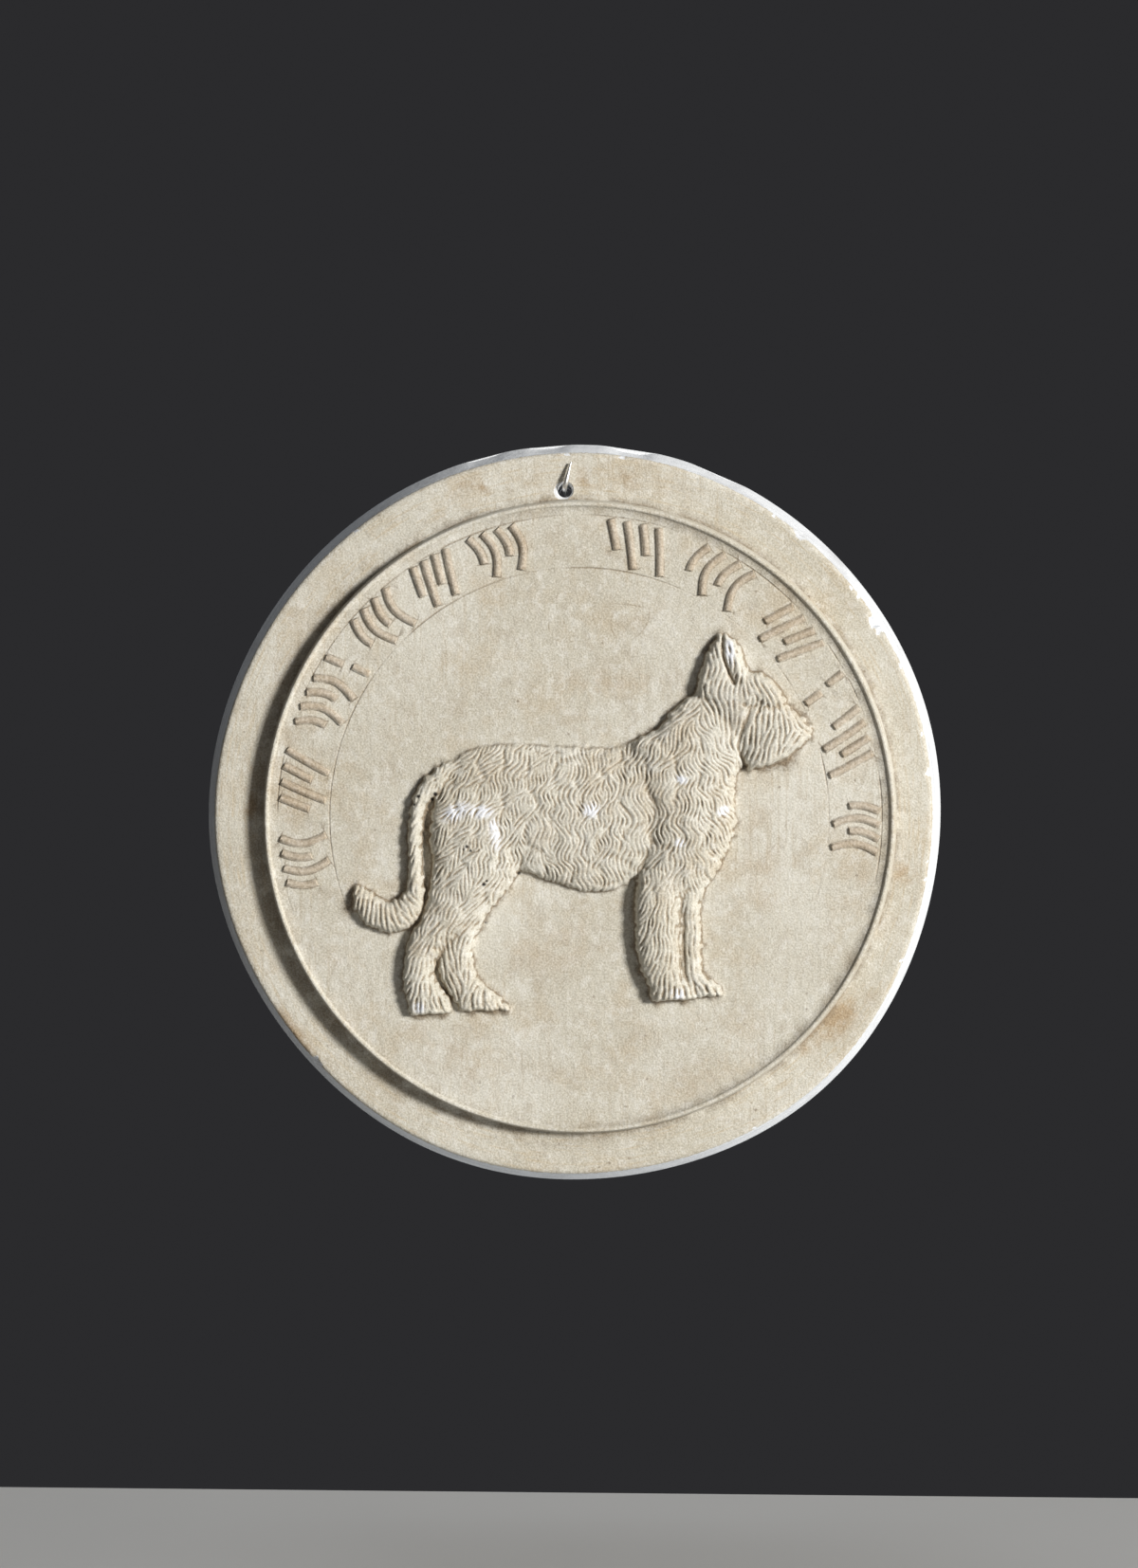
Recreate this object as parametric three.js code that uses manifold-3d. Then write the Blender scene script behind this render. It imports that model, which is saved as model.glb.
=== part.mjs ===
// Decorative wall plaque: a round plaster medallion with a rough-coated dog in relief.
// Millimetres, +Z up. The front faces -Y, the flat back lies in the plane Y = 0, and the
// origin is on the back, on the axis of the raised drum. Every depth is measured from the back.
import * as THREE from "three";
import { mergeVertices } from "three/addons/utils/BufferGeometryUtils.js";
import Module from "manifold-3d";

// Slab: hand-trimmed wall that spreads towards the back, flat rim, drum with a thin lip, sunk field
const BACK_RADIUS = 131;
const FACE_RADIUS = 126;
const EDGE_ROUND = 0.8;
const RIM_DEPTH = 16;
const DRUM_BASE_RADIUS = 111;
const LIP_OUTER_RADIUS = 109.2;
const LIP_INNER_RADIUS = 107;
const LIP_DEPTH = 23;
const FIELD_RADIUS = 106.2;
const FIELD_DEPTH = 22;
const SLAB_SEGMENTS = 84;
// Wander of the trimmed wall: lobes around the edge, height in mm, direction of a crest in degrees
const EDGE_WANDER = [[1, 2.0, 160], [2, 0.45, 105], [3, 0.4, -50], [5, 0.3, -115], [6, 0.25, 70]];

// Hanging hole, drilled through the rim near the top, and the wire hook that stands in it
const HOLE_X = -4.9;
const HOLE_Z = 114.2;
const HOLE_RADIUS = 2.5;
const HOLE_CHAMFER = 0.7;
const HOLE_SIDES = 24;
const WIRE_RADIUS = 0.9;
const WIRE_TIP_RADIUS = 0.5;
const WIRE_SIDES = 8;
const WIRE_STEPS = 18;

// Row of raised strokes that follows the upper edge of the field
const STROKE_INNER_RADIUS = 88;
const STROKE_OUTER_RADIUS = 104;
const STROKE_BASE_WIDTH = 2.8;
const STROKE_TOP_WIDTH = 1.7;
const STROKE_HEIGHT = 1.0;
const STROKE_SINK = 0.6;
// Groups of strokes: direction of the group's middle and its spread, both in degrees
const STROKE_GROUPS = [
  [189, 12], [173, 13], [156, 12.5], [146.5, 4], [135, 12], [121, 10], [106.5, 12],
  [77.5, 13], [60, 14], [41.5, 12.5], [27.7, 4], [15.5, 12.5], [-2, 11],
];
const NARROW_GROUP = 6;
// Places of a group's strokes across its spread, how far they swing, and where the short ones start
const STROKE_PLACES = [-0.72, -0.24, 0.24, 0.72];
const STROKE_SWING = 0.24;
const SHORT_STROKE_FOOT = 0.35;
const BOW_DIVISIONS = 4;

// Coat: wavy locks, their pitch across, depth, and the length and swing of a wave
const LOCK_PITCH = 6;
const LOCK_DEPTH = 0.6;
const WAVE_LENGTH = 11;
const WAVE_SWING = 1.0;

// Relief: height of the cut edge above the field, and how far each form runs into the slab
const RELIEF_EDGE = 0.3;
const RELIEF_SINK = 1.5;

// Forms of the dog. A station is a line across the form, from [x, z] on one edge to [x, z] on the
// other, with the height of its crown above the field. steps are the divisions along and across,
// comb is the way the coat lies, and roundness is the swell at the first and the second edge.
const DOG = {
  far_hind_leg: {
    steps: [18, 8], comb: "along", roundness: [0.5, 0.5],
    stations: [
      [-36.7, -24.1, -23.5, -23.1, 3.0], [-40.0, -32.4, -31.4, -33.4, 3.2],
      [-44.6, -40.7, -34.7, -40.3, 3.2], [-48.3, -48.3, -36.4, -46.6, 3.0],
      [-48.6, -53.2, -35.7, -52.6, 3.0], [-46.3, -58.5, -32.7, -57.7, 3.2],
      [-43.3, -63.2, -26.8, -62.2, 3.3], [-41.3, -67.3, -23.1, -66.5, 2.8],
    ],
  },
  far_foreleg: {
    steps: [16, 8], comb: "along", roundness: [0.5, 0.5],
    stations: [
      [29.4, -20.8, 46.6, -20.8, 3.4], [29.4, -29.1, 42.3, -29.1, 3.2],
      [30.1, -39.0, 42.7, -39.0, 3.0], [30.8, -48.3, 43.0, -48.9, 3.0],
      [32.1, -54.2, 43.7, -54.2, 3.0], [36.7, -58.9, 48.6, -57.2, 3.1],
      [38.7, -62.3, 50.6, -61.5, 2.8],
    ],
  },
  torso: {
    steps: [40, 12], comb: "across", roundness: [0.7, 0.5],
    stations: [
      [-50.6, 14.9, -48.6, -3.3, 2.5], [-45.3, 18.8, -41.3, -14.2, 4.2],
      [-36.7, 24.1, -30.8, -20.8, 5.4], [-25.1, 26.0, -20.5, -18.8, 5.9],
      [-11.9, 25.1, -9.3, -22.2, 6.1], [1.3, 24.8, 1.3, -25.5, 6.2],
      [12.9, 24.8, 11.2, -25.1, 6.1], [22.2, 28.4, 20.2, -20.8, 5.8],
      [31.4, 31.7, 29.4, -14.2, 5.0],
    ],
  },
  forequarter: {
    steps: [30, 14], comb: "along", roundness: [0.5, 0.5],
    stations: [
      [41.7, 44.6, 60.8, 22.2, 5.2], [35.4, 42.7, 58.2, 19.5, 5.8],
      [30.4, 38.0, 55.6, 15.9, 6.2], [25.5, 30.8, 54.2, 10.9, 6.5],
      [17.5, 25.1, 54.4, 4.0, 6.6], [20.2, 13.9, 54.2, -3.3, 6.8],
      [24.1, 4.0, 51.9, -10.9, 6.9], [24.5, -6.6, 48.3, -18.5, 6.6],
      [21.5, -16.5, 44.0, -23.8, 6.2], [19.8, -23.1, 38.7, -27.1, 5.6],
    ],
  },
  near_foreleg: {
    steps: [22, 12], comb: "along", roundness: [0.5, 0.5],
    stations: [
      [20.8, -17.5, 40.3, -19.2, 5.4], [19.8, -25.8, 36.7, -27.4, 5.8],
      [19.5, -35.7, 36.2, -37.4, 5.8], [20.2, -45.6, 36.7, -45.6, 5.6],
      [21.8, -52.3, 36.4, -52.3, 5.4], [23.8, -57.5, 38.4, -55.9, 5.2],
      [24.8, -61.2, 41.3, -58.9, 5.0], [25.1, -63.7, 42.3, -62.5, 4.4],
    ],
  },
  near_hind_leg: {
    steps: [32, 12], comb: "along", roundness: [0.5, 0.5],
    stations: [
      [-48.0, 9.9, -27.4, 15.5, 4.6], [-50.9, 1.3, -20.2, 4.0, 6.6],
      [-51.3, -9.3, -19.5, -8.6, 7.2], [-50.6, -17.5, -21.2, -19.8, 6.8],
      [-52.3, -27.8, -27.4, -28.4, 6.2], [-54.9, -35.4, -36.0, -37.7, 5.8],
      [-58.5, -41.3, -44.0, -43.3, 5.4], [-60.2, -47.6, -48.6, -48.9, 5.0],
      [-60.8, -54.9, -49.9, -54.9, 5.0], [-60.2, -61.2, -46.6, -60.2, 4.8],
      [-59.2, -65.5, -44.3, -63.8, 4.6], [-58.5, -68.5, -43.8, -67.8, 4.0],
    ],
  },
  tail: {
    steps: [30, 8], comb: "across", roundness: [0.5, 0.5],
    stations: [
      [-52.6, 14.6, -46.0, 9.9, 3.0], [-56.2, 9.9, -50.3, 6.6, 3.2],
      [-58.2, 4.0, -53.6, 2.0, 3.2], [-59.2, -5.3, -54.2, -6.0, 3.2],
      [-58.9, -14.2, -54.2, -14.2, 3.2], [-59.2, -23.1, -53.4, -25.1, 3.4],
      [-60.8, -26.1, -54.2, -33.1, 3.6], [-63.8, -28.4, -58.5, -38.0, 3.8],
      [-67.1, -28.6, -65.8, -40.0, 3.8], [-70.8, -26.5, -72.8, -37.7, 3.6],
      [-74.4, -24.5, -77.1, -32.7, 3.2], [-77.7, -24.1, -78.2, -27.1, 2.4],
    ],
  },
  skull: {
    steps: [14, 12], comb: "across", roundness: [0.5, 0.5],
    stations: [
      [40.3, 42.0, 51.3, 48.9, 5.5], [45.3, 33.7, 57.5, 50.3, 6.4],
      [51.9, 25.5, 63.5, 49.8, 6.8], [56.5, 22.2, 68.8, 46.0, 6.8],
      [60.8, 27.1, 72.1, 40.3, 6.4],
    ],
  },
  ear: {
    steps: [10, 10], comb: "along", roundness: [0.5, 0.5],
    stations: [
      [40.7, 42.0, 57.2, 46.3, 6.6], [42.0, 48.9, 56.5, 50.9, 6.6],
      [44.0, 55.6, 55.9, 56.5, 5.6], [46.3, 60.2, 54.2, 61.5, 4.6],
      [49.3, 63.3, 51.9, 63.5, 3.2],
    ],
  },
  beard: {
    steps: [14, 14], comb: "along", roundness: [0.5, 0.5],
    stations: [
      [59.2, 36.7, 72.1, 39.4, 7.0], [56.5, 33.7, 76.4, 35.1, 7.4],
      [55.4, 28.8, 79.0, 31.1, 7.2], [55.6, 23.8, 78.0, 27.8, 6.6],
      [56.9, 19.2, 72.4, 22.5, 6.0], [59.2, 16.5, 66.5, 18.8, 4.8],
    ],
  },
};

const wasm = await Module();
wasm.setup();

// A point of the plaque by its place on the face and its depth from the back
const onFace = (x, z, depth) => new THREE.Vector3(x, -depth, z);

// Closed mesh to solid: only the positions count, and the slivers on a lathe's axis go
function toSolid(geometry) {
  geometry.deleteAttribute("normal");
  geometry.deleteAttribute("uv");
  const merged = mergeVertices(geometry, 1e-4);
  const corners = merged.index.array;
  const kept = [];
  for (let i = 0; i < corners.length; i += 3) {
    const [a, b, c] = corners.slice(i, i + 3);
    if (a !== b && b !== c && c !== a) kept.push(a, b, c);
  }
  return new wasm.Manifold(new wasm.Mesh({
    numProp: 3,
    vertProperties: new Float32Array(merged.attributes.position.array),
    triVerts: new Uint32Array(kept),
  }));
}

function toGeometry(solid) {
  const mesh = solid.getMesh();
  const geometry = new THREE.BufferGeometry();
  geometry.setAttribute("position", new THREE.BufferAttribute(mesh.vertProperties, 3));
  geometry.setIndex(new THREE.BufferAttribute(mesh.triVerts, 1));
  geometry.computeVertexNormals();
  return geometry;
}

// Closed skin over a row of rings that all have the same number of points
function loft(rings) {
  const count = rings[0].length;
  const index = [];
  for (let i = 0; i + 1 < rings.length; i += 1) {
    for (let j = 0; j < count; j += 1) {
      const a = i * count + j;
      const b = i * count + ((j + 1) % count);
      index.push(a, b, a + count, b, b + count, a + count);
    }
  }
  const last = (rings.length - 1) * count;
  for (let j = 1; j + 1 < count; j += 1) {
    index.push(0, j + 1, j, last, last + j, last + j + 1);
  }
  const points = rings.flat();
  let volume = 0;
  for (let i = 0; i < index.length; i += 3) {
    const [a, b, c] = index.slice(i, i + 3).map((k) => points[k]);
    volume += a.dot(new THREE.Vector3().crossVectors(b, c));
  }
  if (volume < 0) index.reverse();
  return new THREE.BufferGeometry().setFromPoints(points).setIndex(index);
}

// How far the trimmed wall runs out or in at a direction around the slab
function edgeWander(angle) {
  return EDGE_WANDER.reduce((sum, [lobes, height, crest]) => (
    sum + height * Math.cos(lobes * angle - lobes * THREE.MathUtils.degToRad(crest))
  ), 0);
}

function slab() {
  const profile = [
    [0, FIELD_DEPTH], [FIELD_RADIUS / 2, FIELD_DEPTH], [FIELD_RADIUS, FIELD_DEPTH],
    [LIP_INNER_RADIUS, LIP_DEPTH], [LIP_OUTER_RADIUS, LIP_DEPTH],
    [DRUM_BASE_RADIUS, RIM_DEPTH], [FACE_RADIUS - EDGE_ROUND, RIM_DEPTH],
    [FACE_RADIUS, RIM_DEPTH - EDGE_ROUND], [(FACE_RADIUS + BACK_RADIUS) / 2, RIM_DEPTH / 2],
    [BACK_RADIUS, 0], [0, 0],
  ].map(([radius, depth]) => new THREE.Vector2(radius, -depth));
  const geometry = new THREE.LatheGeometry(profile, SLAB_SEGMENTS);
  const position = geometry.attributes.position;
  for (let i = 0; i < position.count; i += 1) {
    const x = position.getX(i);
    const z = position.getZ(i);
    const radius = Math.hypot(x, z);
    if (radius > FACE_RADIUS - 2 * EDGE_ROUND) {
      const grown = 1 + edgeWander(Math.atan2(z, x)) / radius;
      position.setXYZ(i, x * grown, position.getY(i), z * grown);
    }
  }
  return toSolid(geometry);
}

function hangingHole() {
  const length = RIM_DEPTH + 4;
  const bore = new THREE.CylinderGeometry(HOLE_RADIUS, HOLE_RADIUS, length, HOLE_SIDES);
  bore.translate(HOLE_X, -RIM_DEPTH / 2, HOLE_Z);
  const wide = HOLE_RADIUS + 2 * HOLE_CHAMFER;
  const flare = new THREE.CylinderGeometry(HOLE_RADIUS, wide, 2 * HOLE_CHAMFER, HOLE_SIDES);
  flare.translate(HOLE_X, -RIM_DEPTH, HOLE_Z);
  return toSolid(bore).add(toSolid(flare));
}

// Height of the coat's locks: rounded ridges side by side that swing from side to side
function lockHeight(acrossLocks, alongLocks) {
  const swing = WAVE_SWING * Math.sin((2 * Math.PI * alongLocks) / WAVE_LENGTH);
  return LOCK_DEPTH * Math.abs(Math.sin((Math.PI * (acrossLocks + swing)) / LOCK_PITCH));
}

// One form of the dog: an arched skin over its stations, sunk into the field
function relief({ steps, comb, roundness, stations }) {
  const curve = (xIndex, zIndex) => new THREE.CatmullRomCurve3(
    stations.map((row) => onFace(row[xIndex], row[zIndex], row[4])), false, "catmullrom",
  );
  const firstEdge = curve(0, 1);
  const secondEdge = curve(2, 3);
  const [alongSteps, acrossSteps] = steps;
  const length = (firstEdge.getLength() + secondEdge.getLength()) / 2;
  const rings = [];
  for (let i = 0; i <= alongSteps; i += 1) {
    const along = i / alongSteps;
    const first = firstEdge.getPoint(along);
    const second = secondEdge.getPoint(along);
    const crown = -first.y;
    const width = first.distanceTo(second);
    const sunk = FIELD_DEPTH - RELIEF_SINK;
    const ring = [onFace(first.x, first.z, sunk)];
    for (let j = 0; j <= acrossSteps; j += 1) {
      const side = -Math.cos((Math.PI * j) / acrossSteps);
      const across = (side + 1) / 2;
      const swell = (1 - side * side) ** roundness[side < 0 ? 0 : 1];
      const locks = comb === "across"
        ? lockHeight(along * length, across * width)
        : lockHeight((across - 0.5) * width, along * length);
      const height = RELIEF_EDGE + (crown - RELIEF_EDGE) * swell + locks * Math.min(1, 2 * swell);
      const place = first.clone().lerp(second, across);
      ring.push(onFace(place.x, place.z, FIELD_DEPTH + height));
    }
    ring.push(onFace(second.x, second.z, sunk));
    rings.push(ring);
  }
  return toSolid(loft(rings));
}

// One raised stroke along a line of [degrees, radius] points, flat on top with sloped sides
function stroke(line) {
  const points = line.map(([degrees, radius]) => {
    const angle = THREE.MathUtils.degToRad(degrees);
    return new THREE.Vector2(radius * Math.cos(angle), radius * Math.sin(angle));
  });
  const rings = points.map((point, i) => {
    const before = points[Math.max(i - 1, 0)];
    const after = points[Math.min(i + 1, points.length - 1)];
    const run = after.clone().sub(before).normalize();
    const corner = (side, width, depth) => onFace(
      point.x - run.y * side * width * 0.5, point.y + run.x * side * width * 0.5, depth,
    );
    return [
      corner(-1, STROKE_BASE_WIDTH, FIELD_DEPTH - STROKE_SINK),
      corner(-1, STROKE_TOP_WIDTH, FIELD_DEPTH + STROKE_HEIGHT),
      corner(1, STROKE_TOP_WIDTH, FIELD_DEPTH + STROKE_HEIGHT),
      corner(1, STROKE_BASE_WIDTH, FIELD_DEPTH - STROKE_SINK),
    ];
  });
  return toSolid(loft(rings));
}

// The strokes of one group, as lines of [degrees, radius]. Bars and bows stand side by side and take
// turns to lean and bulge one way and the other, with every second one shorter, and a group with
// little room holds two short bars, one above the other.
function groupLines(middle, spread, order) {
  const tall = STROKE_OUTER_RADIUS - STROKE_INNER_RADIUS;
  const spot = (side, rise) => [middle + side * spread * 0.5, STROKE_INNER_RADIUS + rise * tall];
  if (spread < NARROW_GROUP) {
    return [[spot(-0.5, 0), spot(-0.2, 0.4)], [spot(0.2, 0.6), spot(0.5, 1)]];
  }
  const bowed = order % 2 === 0;
  const way = order % 4 < 2 ? 1 : -1;
  const divisions = bowed ? BOW_DIVISIONS : 1;
  return STROKE_PLACES.map((place, k) => {
    const foot = k % 2 === 0 ? 0 : SHORT_STROKE_FOOT;
    return Array.from({ length: divisions + 1 }, (_, i) => {
      const rise = foot + ((1 - foot) * i) / divisions;
      const swing = bowed ? Math.sin(Math.PI * rise) - 0.5 : 1 - 2 * rise;
      return spot(place + way * STROKE_SWING * swing, rise);
    });
  });
}

function plaque() {
  let solid = slab();
  for (const form of Object.values(DOG)) solid = solid.add(relief(form));
  STROKE_GROUPS.forEach(([middle, spread], order) => {
    for (const line of groupLines(middle, spread, order)) solid = solid.add(stroke(line));
  });
  const plaster = new THREE.MeshStandardMaterial({ color: 0xd2c9b4, roughness: 0.9, metalness: 0 });
  const mesh = new THREE.Mesh(toGeometry(solid.subtract(hangingHole())), plaster);
  mesh.name = "plaque";
  return mesh;
}

// Bent wire: straight through the hole from the wall plane, then turned up against the rim's face
function hangingHook() {
  const route = new THREE.CatmullRomCurve3([
    [0, 0.5, 0], [0, 0.5, RIM_DEPTH / 2], [0, 0.5, RIM_DEPTH - 0.6], [0.3, 1.7, RIM_DEPTH + 1.6],
    [0.9, 4.0, RIM_DEPTH + 2.0], [1.6, 7.0, RIM_DEPTH + 1.6], [2.2, 9.4, RIM_DEPTH + 1.1],
  ].map(([x, z, depth]) => onFace(HOLE_X + x, HOLE_Z + z, depth)));
  const sideways = new THREE.Vector3(1, 0, 0);
  const rings = [];
  for (let i = 0; i <= WIRE_STEPS; i += 1) {
    const along = i / WIRE_STEPS;
    const middle = route.getPointAt(along);
    const run = i === 0 ? new THREE.Vector3(0, -1, 0) : route.getTangentAt(along);
    const up = new THREE.Vector3().crossVectors(run, sideways).normalize();
    const out = new THREE.Vector3().crossVectors(up, run).normalize();
    const taper = THREE.MathUtils.smoothstep(along, 0.75, 1);
    const radius = THREE.MathUtils.lerp(WIRE_RADIUS, WIRE_TIP_RADIUS, taper);
    rings.push(Array.from({ length: WIRE_SIDES }, (_, k) => {
      const turn = (2 * Math.PI * k) / WIRE_SIDES;
      return middle.clone()
        .addScaledVector(out, radius * Math.cos(turn))
        .addScaledVector(up, radius * Math.sin(turn));
    }));
  }
  const steel = new THREE.MeshStandardMaterial({ color: 0xb8b9ba, roughness: 0.35, metalness: 1 });
  const mesh = new THREE.Mesh(loft(rings), steel);
  mesh.name = "hanging_hook";
  return mesh;
}

const wallPlaque = new THREE.Group();
wallPlaque.add(plaque(), hangingHook());

export default wallPlaque;
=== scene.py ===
import math

import bpy
import numpy as np
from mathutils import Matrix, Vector
from mathutils.geometry import delaunay_2d_cdt


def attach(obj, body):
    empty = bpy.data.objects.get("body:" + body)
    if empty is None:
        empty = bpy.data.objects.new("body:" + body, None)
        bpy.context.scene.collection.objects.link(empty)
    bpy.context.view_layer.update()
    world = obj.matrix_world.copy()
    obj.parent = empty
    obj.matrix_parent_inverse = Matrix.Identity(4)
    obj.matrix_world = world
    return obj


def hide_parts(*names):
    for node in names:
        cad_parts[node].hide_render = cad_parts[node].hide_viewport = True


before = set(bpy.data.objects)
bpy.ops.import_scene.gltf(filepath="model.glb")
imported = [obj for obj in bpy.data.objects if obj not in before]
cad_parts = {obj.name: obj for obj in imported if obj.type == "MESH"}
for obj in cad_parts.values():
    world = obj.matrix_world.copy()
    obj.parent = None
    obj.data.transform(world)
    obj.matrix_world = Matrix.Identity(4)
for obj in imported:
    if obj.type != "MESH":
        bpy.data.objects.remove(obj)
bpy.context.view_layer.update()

# Sizes are in millimetres until a mesh is made; the front faces -Y and depths count from the back
MM = 0.001

# Slab and drum: radius and depth of each ring, from the field's edge over the lip to the rim
FIELD_DEPTH = 22.0
RIM_DEPTH = 16.0
FACE_RADIUS = 126.0
FIELD_EDGE = 107.4
LIP_RINGS = [
    (FIELD_EDGE, 22.0), (107.7, 22.35), (107.95, 22.8), (108.2, 22.98), (108.75, 23.0), (109.0, 22.9),
    (109.22, 22.5), (109.75, 20.4), (110.3, 18.2), (110.6, 17.0), (110.85, 16.25), (111.1, RIM_DEPTH),
]
EDGE_RINGS = [
    (120.0, 16.0), (122.0, 16.0), (123.2, 16.0), (124.0, 15.97), (124.6, 15.92), (125.1, 15.8),
    (125.5, 15.55), (125.8, 15.2), (126.0, 14.6), (126.5, 13.2), (127.6, 10.2), (129.0, 6.0),
    (130.3, 2.2), (130.8, 0.6), (130.94, 0.0),
]
RING_POINTS = 600
# Painted shadow on the side of the drum away from the light, and dirt with painted shade in the corners:
# number of the ring in the list above and its share
SHADOW_SIDE = math.radians(205)
SHADOW_SIDE_REACH = 1.3
PAINTED_SHADOW_SHARE = 0.85
CORNER_DIRT_AND_SHADE = {0: 0.45, 1: 0.1, 8: 0.2, 9: 0.5, 10: 1.0, 11: 0.8}
# Wander of the hand-trimmed wall: lobes, height, direction of a crest in degrees
EDGE_WANDER = [(1, 2.0, 160), (2, 0.45, 105), (3, 0.4, -50), (5, 0.3, -115), (6, 0.25, 70)]
WANDER_START = 119.0
# Dips in the outer wall near the top: direction in degrees, half length and depth
EDGE_DIPS = [(82.0, 7.0, 1.6), (95.0, 6.0, 1.0), (68.0, 8.0, 0.7), (105.0, 6.0, 0.7)]
# Chips along the face's edge: direction in degrees, half length and size
EDGE_CHIPS = [
    (33, 4.5, 2.6), (38, 2.5, 1.2), (52, 4.0, 1.5), (57, 2.0, 1.0), (7, 3.0, 1.1), (14, 2.0, 0.9),
    (-10, 2.5, 1.0), (-24, 3.0, 1.3), (-31, 2.0, 1.0), (83, 3.5, 1.6), (92, 3.0, 1.4), (112, 3.0, 1.1),
    (128, 2.0, 0.9), (223, 3.5, 1.5), (202, 2.0, 0.8), (160, 2.5, 0.9), (300, 3.0, 1.0), (262, 2.0, 0.7),
]
NIBBLE = 0.36
# The edge is more nibbled on one side: direction, reach and how much more
NIBBLED_SIDE = math.radians(22)
NIBBLED_REACH = 0.75
NIBBLED_MORE = 2.2

# Hanging hole and hook
HOLE = (-4.9, 114.2)
HOLE_RINGS = [(3.2, 16.0), (2.95, 15.75), (2.55, 15.3), (2.45, 12.0), (2.45, 4.0), (2.5, 0.0)]
HOLE_POINTS = 56
HOLE_CHIP = 0.9
HOLE_CHIP_SIDE = math.radians(215)
HOOK_ROUTE = [
    (0, 0.5, 0), (0, 0.5, 8), (0, 0.5, 15.4), (0.3, 1.7, 17.6), (0.9, 4.0, 18.0), (1.6, 7.0, 17.6),
    (2.2, 9.4, 17.1),
]
HOOK_RADIUS = 0.82
HOOK_TIP_RADIUS = 0.36

# Row of raised strokes: direction and spread of each group in degrees
STROKE_INNER = 88.0
STROKE_OUTER = 104.0
STROKE_HEIGHT = 1.0
STROKE_GROUPS = [
    (189, 12), (173, 13), (156, 12.5), (146.5, 4), (135, 12), (121, 10), (106.5, 12),
    (77.5, 13), (60, 14), (41.5, 12.5), (27.7, 4), (15.5, 12.5), (-2, 11),
]
NARROW_GROUP = 6
STROKE_PLACES = (-0.72, -0.24, 0.24, 0.72)
STROKE_SWING = 0.24
SHORT_STROKE_FOOT = 0.35
STRIP_OFFSETS = (-1.75, -1.38, -0.88, 0.0, 0.88, 1.38, 1.75)
STRIP_RAISED = (0, 0, 1, 1, 1, 0, 0)
# Share of dirt and painted shade across a stroke, darkest at its foot
STRIP_DIRT_AND_SHADE = (0, 1, 0.3, 0, 0.3, 1, 0)
STRIP_STEP = 1.1

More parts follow.
